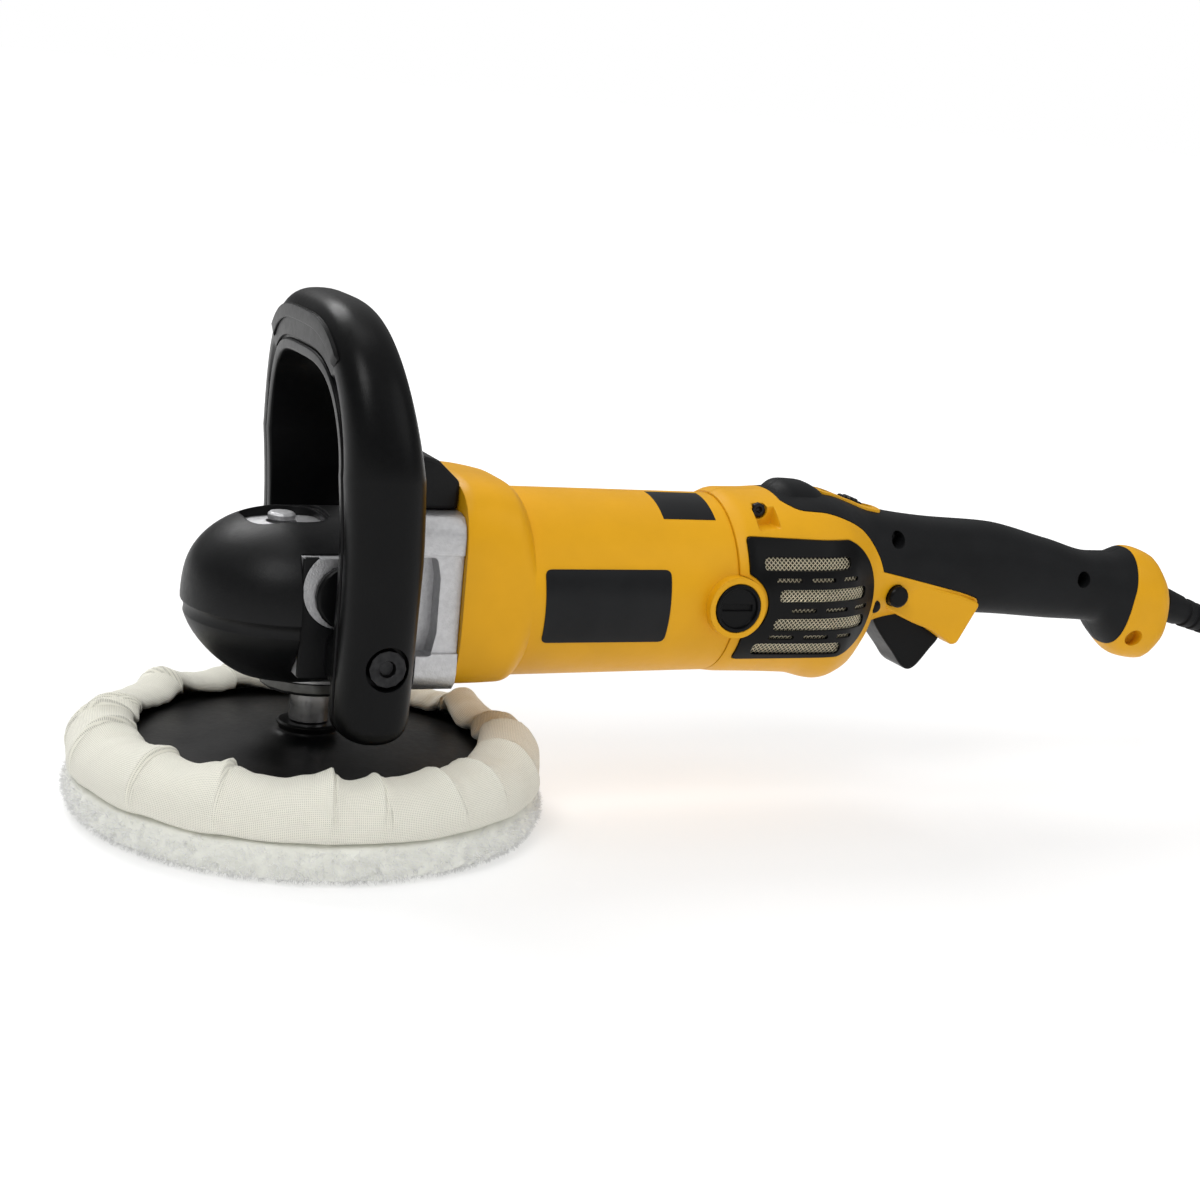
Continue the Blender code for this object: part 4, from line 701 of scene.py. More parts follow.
class PolisherCloth(bpy.types.PropertyGroup):
    """Pleats and weave of the bonnet"""
    pleats: IntProperty(name="Pleats", default=17, description="Creases round the bonnet")
    depth: FloatProperty(name="Depth", default=0.006, unit="LENGTH", description="Height of a pleat")
    weave: FloatProperty(name="Weave", default=0.00115, unit="LENGTH", description="Thread spacing")
    seed: IntProperty(name="Seed", default=5, description="Where the creases fall")


class PolisherWool(bpy.types.PropertyGroup):
    """Locks of the pad's wool"""
    density: FloatProperty(name="Density", default=420000.0, description="Locks for each square metre")
    length: FloatProperty(name="Length", default=1.0, description="Size of a lock against the drawn one")
    seed: IntProperty(name="Seed", default=3, description="Where the locks fall")


# Pieces

class POLISHER_OT_finishes(bpy.types.Operator):
    """Gives every CAD piece its finish and softened edges"""
    bl_idname = "polisher.finishes"
    bl_label = "Finishes"

    def execute(self, context):
        LOOKS.update(make_looks(context.scene.polisher_colours))
        given = {node: look for look, nodes in NODE_LOOKS.items() for node in nodes}
        for name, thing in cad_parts.items():
            thing.data.materials.clear()
            thing.data.materials.append(LOOKS[given.get(name, "steel")])
            all_smooth(thing)
            weld = thing.modifiers.new("weld", "WELD")
            weld.merge_threshold = 1e-6
            bevel(thing, 0.35, 2, 38)
            thing.modifiers.new("shade", "WEIGHTED_NORMAL")
        return {"FINISHED"}


def nose_solid(name, inset, rear, look=None, front=44, groove=False):
    """Domed nose: half a lathe shape in front, the same outline pulled straight back behind."""
    middle = (CASE_RISE - CASE_DROP) / 2
    high = (CASE_RISE + CASE_DROP) / 2 - inset
    outline = []
    for share, level in curve(NOSE_SHAPE, 4):
        tall = level * (CASE_RISE if level > 0 else CASE_DROP)
        r = max(0.0, share) * (NOSE_RADIUS - inset)
        if groove and -0.37 < level < -0.26:
            r -= 1.0
        outline.append((r, middle + (tall - middle) * high / (high + inset)))
    outline[0] = (0.0, outline[0][1])
    columns = [[(rear, r, AXIS + z) for r, z in outline]]
    for i in range(front + 1):
        a = math.pi / 2 + math.pi * i / front
        columns.append([(NOSE_X + r * math.cos(a), r * math.sin(a), AXIS + z) for r, z in outline])
    columns.append([(rear, -r, AXIS + z) for r, z in outline])
    count, rows = len(outline), len(columns)
    faces = grid(rows, count)
    faces.append(tuple(range(count)) + tuple((rows - 1) * count + i for i in reversed(range(1, count))))
    faces.append(tuple(a * count + count - 1 for a in range(rows)))
    return add_mesh(name, [p for column in columns for p in column], faces, look)


class POLISHER_OT_gear_boot(bpy.types.Operator):
    """Moulds the rubber boot over the gear case, with its windows and saddle"""
    bl_idname = "polisher.gear_boot"
    bl_label = "Gear case boot"

    def case(self):
        """Cast case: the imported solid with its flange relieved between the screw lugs."""
        case = merged(copy_of(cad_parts["gear_case"], "case_skin", "alloy"))
        for side in (-1, 1):
            relief = fillet(((FLANGE_X - 4, 19), (FLANGE_X - 4, -24), (FLANGE_X + 7, -24),
                             (FLANGE_X + 9, -14), (FLANGE_X + 9, 10), (FLANGE_X + 7, 19)), 2.5)
            cut(case, pulled("relief", relief, *span(side, 31, 60)))
            face = rectangle(FLANGE_X - 4, -23, FLANGE_X + 30, 20, 2)
            cut(case, pulled("face", face, *span(side, FLANGE_HALF - 1.2, 60)))
        bevel(bake(case), 0.6, 2, 40)
        fit(smooth(bake(case), 35), "alloy", "tool", "gear_case")

    def saddle(self):
        """Pad between the bail and the hump of the motor housing, over the flange."""
        top, back, low = FLANGE_TOP + GAP, HOUSING_X - GAP, CASE_RISE * 0.6
        shape = fillet(((BOOT_REAR - 8, low), (FLANGE_X - 3, low), (FLANGE_X - 3, top), (back, top),
                        (back, HUMP_TOP - 1), (FLANGE_X + 9, HUMP_TOP + 8), (FLANGE_X + 2, HUMP_TOP + 10),
                        (BOOT_REAR - 4, HUMP_TOP + 4), (BOOT_REAR - 8, CASE_RISE)), 3.0)
        return pulled("saddle", shape, -28, 28, soft=2.2)

    def covers(self, x0, z0, x1, z1):
        """Flat cover in each side window, cut round its port plug."""
        shape = rectangle(x0 + 0.05, z0 + 0.05, x1 - 0.05, z1, 1.2)
        at = (-1.5, 0, AXIS + PORT_RISE + 3)
        for word, side in (("left", -1), ("right", 1)):
            ends = span(side, PAD_HALF - 2, PAD_HALF + 0.25)
            cover = pulled("side_cover_" + word, shape, *ends, "boot")
            cut(cover, rod("cover_hole", "Y", PORT_RADIUS + 3.5, -THROUGH, THROUGH, at))
            fit(smooth(bake(cover), 30), "boot", "tool")

    def execute(self, context):
        boot = nose_solid("boot_skin", 0.0, BOOT_REAR, "boot", groove=True)
        cut(boot, self.saddle(), "UNION")
        cut(boot, nose_solid("boot_inside", BOOT_WALL, FLANGE_X + 20, front=24))
        cut(boot, rod("boot_mouth", "Z", RETAINER_RADIUS + GAP, 0, AXIS, (0, 0, 0)))
        window = (NOSE_X - PAD_FRONT - GAP, -PAD_DROP - GAP, BOOT_REAR - PAD_SHORT + GAP,
                  PORT_RISE + PORT_RADIUS + PAD_OVER + GAP)
        cut(boot, pulled("boot_window", rectangle(*window, 2.5), -THROUGH, THROUGH))
        hole = rectangle(LOCK_X - WINDOW_HALF, -WINDOW_WIDE, LOCK_X + WINDOW_HALF, WINDOW_WIDE, 13.0, 8)
        cut(boot, pulled("boot_slot", hole, 0, THROUGH, axis="Z"))
        rim = [(LOCK_X + (x - LOCK_X) * 1.1, y * 1.12) for x, y in hole]
        cut(boot, pulled("boot_lip", rim, CASE_RISE - 1.9, THROUGH, axis="Z"))
        fit(smooth(bake(boot), 30), "boot", "tool", "gear_case_boot")
        self.covers(*window)
        self.case()
        clear_shop()
        return {"FINISHED"}


def bail_stations():
    """Stations along the bail: across, up and width, from one foot over the arch to the other."""
    middle = BAIL_INNER + BAIL_THICK / 2
    toe, start = 14.0, 0.3
    tall = toe + start
    line = []
    for i in range(13):
        h = toe * (1 - math.cos(math.pi / 2 * i / 12)) + start
        line.append((middle, -BAIL_FOOT + h, BAIL_LEG * (1 - max(0.0, 1 - h / tall) ** 2.6) ** 0.385))
    for i in range(1, 11):
        z = -BAIL_FOOT + tall + (BAIL_SPRING + BAIL_FOOT - tall) * i / 11
        line.append((middle, z, BAIL_LEG + BAIL_FLARE * i / 11))
    rise = BAIL_TOP - BAIL_THICK / 2 - BAIL_SPRING
    legs = list(line)
    for i in range(73):
        a = math.pi * i / 72
        c, s = math.cos(a), math.sin(a)
        across = middle * math.copysign(abs(c) ** BAIL_SQUARE, c)
        up = BAIL_SPRING + rise * abs(s) ** BAIL_RISE
        line.append((across, up, BAIL_LEG + BAIL_FLARE - BAIL_TAPER * s))
    return line + [(-y, z, wide) for y, z, wide in reversed(legs)]


def bail_place(line, n):
    """Middle of a station with its outward way."""
    y, z, _ = line[n]
    a, b = line[max(n - 1, 0)], line[min(n + 1, len(line) - 1)]
    way = Vector((0, b[0] - a[0], b[1] - a[1])).normalized()
    lean = BAIL_RAKE * min(1.0, (z + BAIL_FOOT) / (BAIL_SPRING + BAIL_FOOT))
    lean -= BAIL_LEAN * max(0.0, (z - 20) / (BAIL_TOP - 20)) ** 1.5
    return Vector((BAIL_X + lean, y, AXIS + z)), Vector((0, way.z, -way.y))


class POLISHER_OT_bail(bpy.types.Operator):
    """Moulds the bail handle: a rounded body on a flanged inner edge, with bolt bosses, recesses and foot
    lugs
    """
    bl_idname = "polisher.bail"
    bl_label = "Bail handle"

    def section(self, wide, brow):
        """Half widths and depths round one section: a flange on the inner edge, a groove, a rounded body."""
        half, deep = 0.5 * BAIL_WIDE * wide, BAIL_THICK
        side = [(half - 1.4, -0.5 * deep), (half - 0.4, -0.47 * deep), (half, -0.42 * deep),
                (half, -0.29 * deep), (half - 0.5, -0.265 * deep), (half - 1.6, -0.255 * deep),
                (half - 1.6, -0.2 * deep), (half - 0.4, -0.19 * deep)]
        for i in range(13):
            a = math.pi / 2 * (i + 0.5) / 13
            side.append(((half - 0.1) * math.cos(a) ** 0.78, deep * (0.69 * math.sin(a) ** 0.78 - 0.19)))
        round_end = min(1.0, wide + 0.12) ** 0.5
        side = [(p, (q + 0.5 * deep) * round_end - 0.5 * deep) for p, q in side]
        side = [(p, q - brow if q < -0.195 * deep else q) for p, q in side]
        return side + [(-p, q) for p, q in reversed(side)]

    def execute(self, context):
        line = bail_stations()
        rings = []
        for n, (_, z, wide) in enumerate(line):
            at, out = bail_place(line, n)
            brow = BAIL_BROW * max(0.0, (z - BAIL_SPRING) / (BAIL_TOP - BAIL_THICK / 2 - BAIL_SPRING)) ** 2
            rings.append([at + Vector((p, 0, 0)) + out * q for p, q in self.section(wide, brow)])
        bail = loft("bail_skin", rings, "black")
        at = (BOLT_X, 0, AXIS - BOLT_DROP)
        outside = BAIL_INNER + BAIL_THICK
        for side in (1, -1):
            spans = ((PAD_HALF + GAP, BAIL_INNER + 4), (PAD_HALF, outside + 9), (outside - 7, outside + 9))
            ends = [span(-side, a, b) for a, b in spans]
            cut(bail, rod("bail_boss", "Y", 9, *ends[0], at), "UNION")
            cut(bail, rod("bail_hole", "Y", BOLT_RADIUS + GAP, *ends[1], at))
            cut(bail, rod("bail_recess", "Y", 9.5, *ends[2], at))
        foot = fillet(((-8, -13), (22, -13), (22, -47), (6, -52), (-8, -29)), 4)
        for side in (1, -1):
            lug = pulled("bail_lug", foot, *span(side, PAD_HALF + GAP, BAIL_INNER + 2), soft=1.2)
            cut(bail, lug, "UNION")
        fit(smooth(bake(bail), 35), "black", "tool", "bail_handle")
        self.strip(line)
        clear_shop()
        return {"FINISHED"}

    def strip(self, line):
        """Bare raised band across the front of the arch."""
        middle = len(line) // 2
        rings = []
        for n in range(middle - 15, middle + 16):
            at, out = bail_place(line, n)
            front = -0.5 * BAIL_WIDE * line[n][2]
            inset = 0.9 if n in (middle - 15, middle + 15) else 0.0
            loop = ((front + 1.5, -3.0), (front - 0.5 + inset, -3.0), (front - 0.7 + inset, -2.6),
                    (front - 0.7 + inset, 2.6), (front - 0.5 + inset, 3.0), (front + 1.5, 3.0))
            rings.append([at + Vector((p, 0, 0)) + out * q for p, q in loop])
        band = smooth(loft("bail_band", rings, "black"), 40)
        fit(band, "black", "tool")


def barrel_radius(x):
    """Radius of the tapering barrel at a place behind the collar."""
    start = HOUSING_X + COLLAR
    return BARREL + (BARREL_END - BARREL) * (x - start) / (PARTING_X - start)


class POLISHER_OT_motor(bpy.types.Operator):
    """Moulds the motor housing with its collar, brush bosses and bores"""
    bl_idname = "polisher.motor"
    bl_label = "Motor housing"

    def execute(self, context):
        low = -FLANGE_HALF - 1
        rows = flowing(((HOUSING_X, HUMP_TOP - 1.5, low, COLLAR_HALF, 4.0),
                        (HOUSING_X + 4, HUMP_TOP, low, COLLAR_HALF, 4.0),
                        (HOUSING_X + 0.72 * COLLAR, HUMP_TOP - 2.5, low, COLLAR_HALF, 3.6),
                        (HOUSING_X + COLLAR, BARREL, -BARREL, BARREL, 2.0)), 34)
        end = PARTING_X - SEAM
        rows += [(HOUSING_X + COLLAR + (end - HOUSING_X - COLLAR) * i / 12,)
                 + tuple(s * (BARREL + (BARREL_END - BARREL) * i / 12) for s in (1, -1, 1)) + (2.0,)
                 for i in range(1, 13)]
        rows += [(x, SPIGOT, -SPIGOT, SPIGOT, 2.0) for x in (end, PARTING_X + SPIGOT_LENGTH)]
        housing = loft("housing_skin", [oval(*row, 112) for row in rows], "yellow")
        at = (BRUSH_X, 0, AXIS - BRUSH_DROP)
        for side in (-1, 1):
            boss = rod("brush_boss", "Y", BRUSH_BOSS, *span(side, 20, BRUSH_REACH), at, 72)
            cut(housing, boss, "UNION")
        self.bores(housing, at)
        fit(smooth(bake(housing), 28), "yellow", "tool", "motor_housing")
        self.plates()
        clear_shop()
        return {"FINISHED"}

    def bores(self, housing, at):
        """Room for the motor and its tail bearing, the brushes and their caps."""
        wall = PARTING_X + SPIGOT_LENGTH - 10
        bore = BARREL_END - BARREL_WALL
        profile = ((0.01, wall + 20), (TAIL_BEARING + GAP, wall + 20), (TAIL_BEARING + GAP, wall),
                   (SPIGOT - 3, wall), (SPIGOT - 3, CORE_END + 8), (bore, CORE_END + 5),
                   (bore, HOUSING_X - 1), (0.01, HOUSING_X - 1))
        cut(housing, lathe("housing_bore", profile, along_axis("X", (0, 0, AXIS))))
        cut(housing, rod("bore_core", "X", 0.5, HOUSING_X - 1, wall + 20, (0, 0, AXIS), 12))
        cut(housing, rod("brush_bore", "Y", 8 + GAP, -THROUGH, THROUGH, at))
        for side in (-1, 1):
            ends = span(side, BRUSH_REACH - 6, THROUGH)
            cut(housing, rod("cap_bore", "Y", CAP_RADIUS + GAP, *ends, at, 60))

    def plates(self):
        """Bare name plate on the near flank and a bare label near the top."""
        shape = fillet(((89.6, 14.3), (150, 14.1), (150.7, -19.4), (91.2, -19.2)), 3.0)
        plate = pulled("name_plate", shape, -60, -20, "bare_plate")
        rim = [(x, barrel_radius(x) + 0.4) for x in (85, 155)]
        cut(plate, loft("plate_out", [oval(x, r, -r, r, 2.0, 160) for x, r in rim]), "INTERSECT")
        cut(plate, loft("plate_in", [oval(x, r - 0.9, 0.9 - r, r - 0.9, 2.0, 160) for x, r in rim]))
        fit(smooth(bake(plate), 30), "bare_plate", "tool")
        verts = []
        for i in range(9):
            x = 151 + 26 * i / 8
            r = barrel_radius(x) + 0.12
            for j in range(17):
                a = math.radians(0.5 + 35 * j / 16)
                verts.append((x, -r * math.sin(a), AXIS + r * math.cos(a)))
        label = add_mesh("top_label", verts, grid(9, 17), "bare_plate")
        fit(smooth(thicken(label, 0.25)), "bare_plate", "tool")


def rear_rows(count, last=1.0):
    """Place, top, bottom, half width and squareness along the rear housing and the grip."""
    rows = []
    for share, top, bottom, half in REAR_RINGS:
        power = 2 + (SQUARE - 2) * min(1.0, share / 0.65)
        rows.append((PARTING_X + share * REAR_LENGTH, top * REAR_RADIUS, bottom * REAR_RADIUS,
                     half * REAR_RADIUS, power))
    for share, top, bottom, half in GRIP_RINGS:
        if share <= last:
            rows.append((GRIP_X + share * GRIP_LENGTH, top, bottom, half, SQUARE))
    return flowing(rows, count)


def rear_form(name, inset, stations, around, last=1.0):
    """The rear housing and grip in one, or a smaller or larger one that starts further forward."""
    rings = []
    for n, (x, top, bottom, half, power) in enumerate(rear_rows(stations, last)):
        if n == 0 and inset != 0:
            x -= 10
        rings.append(oval(x, top, bottom, half, power, around, inset))
    return loft(name, rings)


def yellow_outline(grow):
    """Side view of the yellow part of the rear housing, down to the trigger guard."""
    crest = curve(((-56, 42), (-49, 39), (-36, 38), (-25, 35), (-15.5, 30.5), (-9, 24.5), (-4, 17.5),
                   (-0.6, 10)), 5)
    nose = curve(((46, -1), (52, -2.8), (57.5, -5.5), (60, -14)), 5)
    line = [(GRIP_X - 56 + grow, 80)]
    line += [(GRIP_X + dx + grow, z + (grow if i else 0)) for i, (dx, z) in enumerate(crest + nose)]
    return line + [(GRIP_X + 60 + grow, -80), (PARTING_X - 30, -80), (PARTING_X - 30, 80)]


def end_outline(grow):
    """Side view of the end cap."""
    x = END_X - END_CAP
    edge = curve(((4, 60), (0, 7), (-2, -6), (-5, -28), (-8, -70)), 5)
    return [(x + dx - grow, z) for dx, z in edge] + [(END_X + 30, -70), (END_X + 30, 60)]


def filter_outline(grow):
    """Rounded D behind the brush cap; its front edge curves round the cap's collar."""
    left = PARTING_X + 4 - grow
    collar = BRUSH_BOSS + 2 - grow
    around = math.degrees(math.atan2(math.sqrt(collar ** 2 - (left - BRUSH_X) ** 2), left - BRUSH_X))
    front = arc(BRUSH_X, -BRUSH_DROP, collar, -around, around, 24)
    bow = arc(GRIP_X - 36 + grow, -0.2, 29, 72, -72, 36)
    return fillet(front + [(left, 28.5 + grow)] + bow + [(left, -29 - grow)], 2.4)


def filter_slots():
    """Long windows over the mesh, then the short ones between them."""
    x = PARTING_X
    slots = [(x + 11, x + 57, 17.5, 3.0), (x + 19, x + 69, 3.2, 3.0), (x + 18, x + 70, -10.5, 3.0),
             (x + 11, x + 57, -23, 3.0)]
    for z, first in ((10.3, 17), (-3.7, 26), (-16.8, 17)):
        slots += [(x + first + 18 * i, x + first + 18 * i + (13 if i < 2 else 9), z, 1.0) for i in range(3)]
    return slots


def in_outline(x, z, outline):
    """Whether a point lies inside a closed outline."""
    odd = False
    for (ax, az), (bx, bz) in zip(outline, outline[1:] + outline[:1]):
        if (az > z) != (bz > z) and x < ax + (bx - ax) * (z - az) / (bz - az):
            odd = not odd
    return odd


def wire_lines(outline, pitch):
    """Crossing diagonal lines inside an outline; their points lie over (1) or under (-1) the others."""
    step = pitch * math.sqrt(0.5)
    x0, x1 = min(x for x, _ in outline), max(x for x, _ in outline)
    z0, z1 = min(z for _, z in outline), max(z for _, z in outline)
    across = 2 * math.ceil((x1 - x0) / step / 2)
    lines = []
    for way, start in ((1, z0 - across * step), (-1, z0)):
        for n in range(int((z1 - z0) / step / 2) + across // 2 + 1):
            run = []
            for m in range(across + 1):
                x, z = x0 + m * step, start + (2 * n + way * m) * step
                if in_outline(x, z, outline):
                    run.append((x, z, way if m % 2 else -way))
                elif run:
                    lines.append(run)
                    run = []
            lines.append(run)
    return [run for run in lines if len(run) > 1]


def shell_half(rows, places, x, z):
    """Half width of the rear form at one place along it and one height."""
    n = max(0, min(len(rows) - 2, bisect.bisect_right(places, x) - 1))
    t = (x - places[n]) / (places[n + 1] - places[n])
    top, bottom, half, power = [a + (b - a) * t for a, b in zip(rows[n][1:], rows[n + 1][1:])]
    level = min(1.0, abs(z - (top + bottom) / 2) / ((top - bottom) / 2))
    return half * (1 - level ** power) ** (1 / power)


def wire_tree():
    """Turns loose lines into round wire."""
    tree = Tree("screen_wire", Radius="Float")
    line = tree.add("GeometryNodeMeshToCurve", {"Mesh": tree.inlet["Geometry"]})
    ring = tree.add("GeometryNodeCurvePrimitiveCircle", {"Resolution": 5, "Radius": tree.inlet["Radius"]})
    skin = tree.add("GeometryNodeCurveToMesh", {"Curve": line.outputs["Curve"],
                                                "Profile Curve": ring.outputs["Curve"]})
    tree.finish(skin.outputs["Mesh"], "wire")
    return tree


class POLISHER_OT_rear(bpy.types.Operator):
    """Moulds the rear housing, the overmoulded grip, the end cap and the intake filters"""
    bl_idname = "polisher.rear"
    bl_label = "Rear housing and grip"

    def body(self, settings):
        """Outside of the housing and grip, with the trigger guard and the thumb rest."""
        form = rear_form("rear_form", 0.0, settings.stations, settings.around)
        guard = ((1, 3), (6, -9), (22, -16), (32, -19.5), (39, -23.5), (44.5, -27), (47.5, -26), (55, -12),
                 (58, -6.5), (46, -2.2), (24, 3.2))
        shape = fillet([(GRIP_X + dx, z) for dx, z in guard], 3.0)
        cut(form, pulled("guard", shape, -20.6, 20.6, soft=1.4), "UNION")
        rest = [oval(GRIP_X + dx, top, 20, half, SQUARE, 40) for dx, top, half in flowing(HUMP_RINGS, 24)]
        cut(form, loft("thumb_rest", rest), "UNION")
        return bake(form)

    def hollow(self):
        """Inside of both halves, less the posts for the screws."""
        room = rear_form("hollow", REAR_WALL, 60, 48, last=0.6)
        for x, z, _, post in SCREWS:
            cut(room, rod("post", "Y", post, -THROUGH, THROUGH, (x, 0, AXIS + z), 24))
        return bake(room)

    def tools(self):
        """Cutters for the openings and for the boundaries between the pieces."""
        side = TRIGGER_HALF + TRIGGER_PLAY
        outlines = {"filters": filter_outline(SEAM), "yellow": yellow_outline(0.0),
                    "black": yellow_outline(SEAM), "tail": end_outline(SEAM), "end": end_outline(0.0)}
        made = {key: pulled(key + "_cut", shape, -THROUGH, THROUGH) for key, shape in outlines.items()}
        brush = (BRUSH_X, 0, AXIS - BRUSH_DROP)
        made.update({
            "slot": block("trigger_slot", (GRIP_X + 0.5, -side, AXIS - 60), (GRIP_X + 46, side, AXIS)),
            "dial": block("dial_slot", (DIAL_X - DIAL_SLOT, -DIAL_SLOT_HALF, AXIS + 20),
                          (DIAL_X + DIAL_SLOT, DIAL_SLOT_HALF, AXIS + 60)),
            "brush": rod("brush_cut", "Y", BRUSH_BOSS + SEAM, -THROUGH, THROUGH, brush, 72),
            "lock": rod("lock_on_hole", "Y", LOCK_ON_HOLE, -THROUGH, 0, (LOCK_ON_X, 0, AXIS - LOCK_ON_DROP)),
            "pocket": pulled("screw_pocket", fillet(POCKET, 1.2), -THROUGH, POCKET_FLOOR),
        })
        return made

    def shells(self, form, tools):
        """Two halves of the housing and two of the grip."""
        room = self.hollow()
        for word, sign in (("left", -1), ("right", 1)):
            low, high = span(sign, SEAM / 2, THROUGH)
            half = block("half", (PARTING_X - 50, low, 0), (END_X + 50, high, 2 * AXIS))
            openings = ("slot", "dial") + (("lock",) if word == "left" else ())
            for name, look in (("rear_housing_" + word, "yellow"), ("grip_" + word, "grip")):
                shell = copy_of(form, name + "_skin", look)
                cut(shell, half, "INTERSECT")
                cut(shell, room)
                if look == "yellow":
                    cut(shell, tools["yellow"], "INTERSECT")
                edges = ("brush", "filters") if look == "yellow" else ("black", "tail")
                for key in edges + openings:
                    cut(shell, tools[key])
                self.screw_holes(shell, word)
                if name == "rear_housing_left":
                    cut(shell, tools["pocket"])
                fit(smooth(bake(shell), 30), look, "tool", name)

    def screw_holes(self, shell, word):
        """Shank holes through both halves, with room for the heads on the near side."""
        for x, z, depth, _ in SCREWS:
            at = (x, 0, AXIS + z)
            shank = (-depth, 0) if word == "left" else (0, 13)
            cut(shell, rod("shank", "Y", SCREW_SHANK + GAP, *shank, at, 24))
            if word == "left":
                cut(shell, rod("head", "Y", SCREW_HEAD + 0.6, -THROUGH, -depth + 9, at, 32))

    def end_cap(self, form, tools):
        cap = copy_of(form, "end_cap_skin", "yellow")
        cut(cap, tools["end"], "INTERSECT")
        at = (END_X - 22.5, 0, AXIS - 25)
        for sign in (-1, 1):
            cut(cap, rod("cap_pocket", "Y", 4.3, *span(sign, 11, THROUGH), at, 36))
        at = (0, 0, AXIS - CORD_DROP)
        cut(cap, rod("cord_hole", "X", BOOT_ROOT - 1.2, END_X - 60, END_X + 30, at, 36))
        fit(smooth(bake(cap), 30), "yellow", "tool", "handle_end_cap")

    def execute(self, context):
        settings = context.scene.polisher_shells
        form = self.body(settings)
        tools = self.tools()
        self.shells(form, tools)
        self.end_cap(form, tools)
        self.filters(settings)
        self.bezel(settings)
        clear_shop()
        return {"FINISHED"}

    def filters(self, settings):
        """Slotted frame, a dark screen of painted shade under the wires, and woven wire on each side."""
        forms = [rear_form("filter_form", inset, settings.stations, settings.around)
                 for inset in (-0.8, 0.9, 0.95, 1.6)]
        slots = [pulled("slot", rectangle(a, z - h, b, z + h, 0.9 * h, 4), -THROUGH, THROUGH)
                 for a, b, z, h in filter_slots()]
        for word, sign in (("left", -1), ("right", 1)):
            ends = span(sign, 15, THROUGH)
            guard = pulled("filter_frame_%s_skin" % word, filter_outline(0.0), *ends, "black")
            cut(guard, forms[0], "INTERSECT")
            cut(guard, forms[1])
            for slot in slots:
                cut(guard, slot)
            fit(smooth(bake(guard), 30), "black", "tool", "filter_frame_" + word)
            # Dark screen whose colour is painted shade for the hollow seen between the wires.
            screen = pulled("filter_mesh_%s_skin" % word, filter_outline(-1.5), *ends, "mesh")
            cut(screen, forms[2], "INTERSECT")
            cut(screen, forms[3])
            fit(smooth(bake(screen), 30), "mesh", "tool", "filter_mesh_" + word)
            fit(self.wires(word, sign, settings), "mesh", "tool")

    def wires(self, word, sign, settings):
        """Woven wire over one screen, made round by Geometry Nodes."""
        weave = bpy.context.scene.polisher_screen
        rows = rear_rows(settings.stations)
        places = [row[0] for row in rows]
        verts, edges = [], []
        for wire in wire_lines(filter_outline(-2.5), weave.pitch / MM):
            first = len(verts)
            for x, z, over in wire:
                y = shell_half(rows, places, x, z) - WIRE_INSET + over * weave.wire / MM
                verts.append((x, sign * y, AXIS + z))
            edges += [(n, n + 1) for n in range(first, len(verts) - 1)]
        data = bpy.data.meshes.new("filter_wires_" + word)
        data.from_pydata([tuple(c * MM for c in v) for v in verts], edges, [])
        return wire_tree().run(put("filter_wires_" + word, data), Radius=weave.wire)

    def bezel(self, settings):
        """Yellow frame round the speed dial, and the small latch below the lock-on button."""
        long, half, rim = DIAL_SLOT, DIAL_SLOT_HALF, 3.0
        plan = rectangle(DIAL_X - long - rim, -half - 3.5, DIAL_X + long + rim, half + 3.5, 3.5)
        ring = pulled("dial_bezel", plan, 20, 70, "yellow", "Z")
        cut(ring, rear_form("bezel_out", -1.0, settings.stations, settings.around), "INTERSECT")
        cut(ring, rear_form("bezel_in", 0.6, settings.stations, settings.around))
        hole = rectangle(DIAL_X - long, -half, DIAL_X + long, half, 1.0)
        cut(ring, pulled("bezel_hole", hole, 10, 80, axis="Z"))
        fit(smooth(bake(ring), 30), "yellow", "tool")
        turn = Matrix.Translation((GRIP_X - 3.5, 0, AXIS - 6.5)) @ Matrix.Rotation(math.pi / 2, 4, "X")
        profile = ((0.01, 25.6), (2.2, 25.6), (3.1, 25.0), (3.4, 22), (3.4, 16), (0.01, 16))
        nub = lathe("latch_nub", profile, turn, 32, "black")
        fit(smooth(nub, 40), "black", "tool")


class POLISHER_OT_trigger(bpy.types.Operator):
    """Moulds the trigger with rounded edges, and the notched speed dial"""
    bl_idname = "polisher.trigger"
    bl_label = "Trigger and dial"

    def dial(self):
        """Speed dial with fine notches round its rim."""
        rings = []
        for y, share in ((-4.2, 0.93), (-3.4, 1.0), (3.4, 1.0), (4.2, 0.93)):
            ring = []
            for i in range(120):
                a = 2 * math.pi * i / 120
                r = share * (DIAL_RADIUS if i % 5 < 3 else DIAL_RADIUS - DIAL_NOTCH)
                ring.append((DIAL_X + r * math.cos(a), y, AXIS + DIAL_RISE + r * math.sin(a)))
            rings.append(ring)
        fit(smooth(loft("dial_skin", rings, "black"), 35), "black", "dial_group", "speed_dial")

    def execute(self, context):
        front = curve(((3, -9), (6.5, -18), (12, -25.5), (19, -33.5), (24, -39.5), (28.5, -41.8), (33, -39.5),
                       (39, -32), (43, -27), (44.5, -22)), 5)
        shape = [(GRIP_X + dx, z) for dx, z in front + [(44.5, -13), (36, -8.5), (20, -6), (6, -5.5)]]
        trigger = pulled("trigger_skin", shape, -TRIGGER_HALF, TRIGGER_HALF, "black", soft=1.6)
        fit(smooth(trigger, 35), "black", "trigger_group", "trigger")
        self.dial()
        return {"FINISHED"}


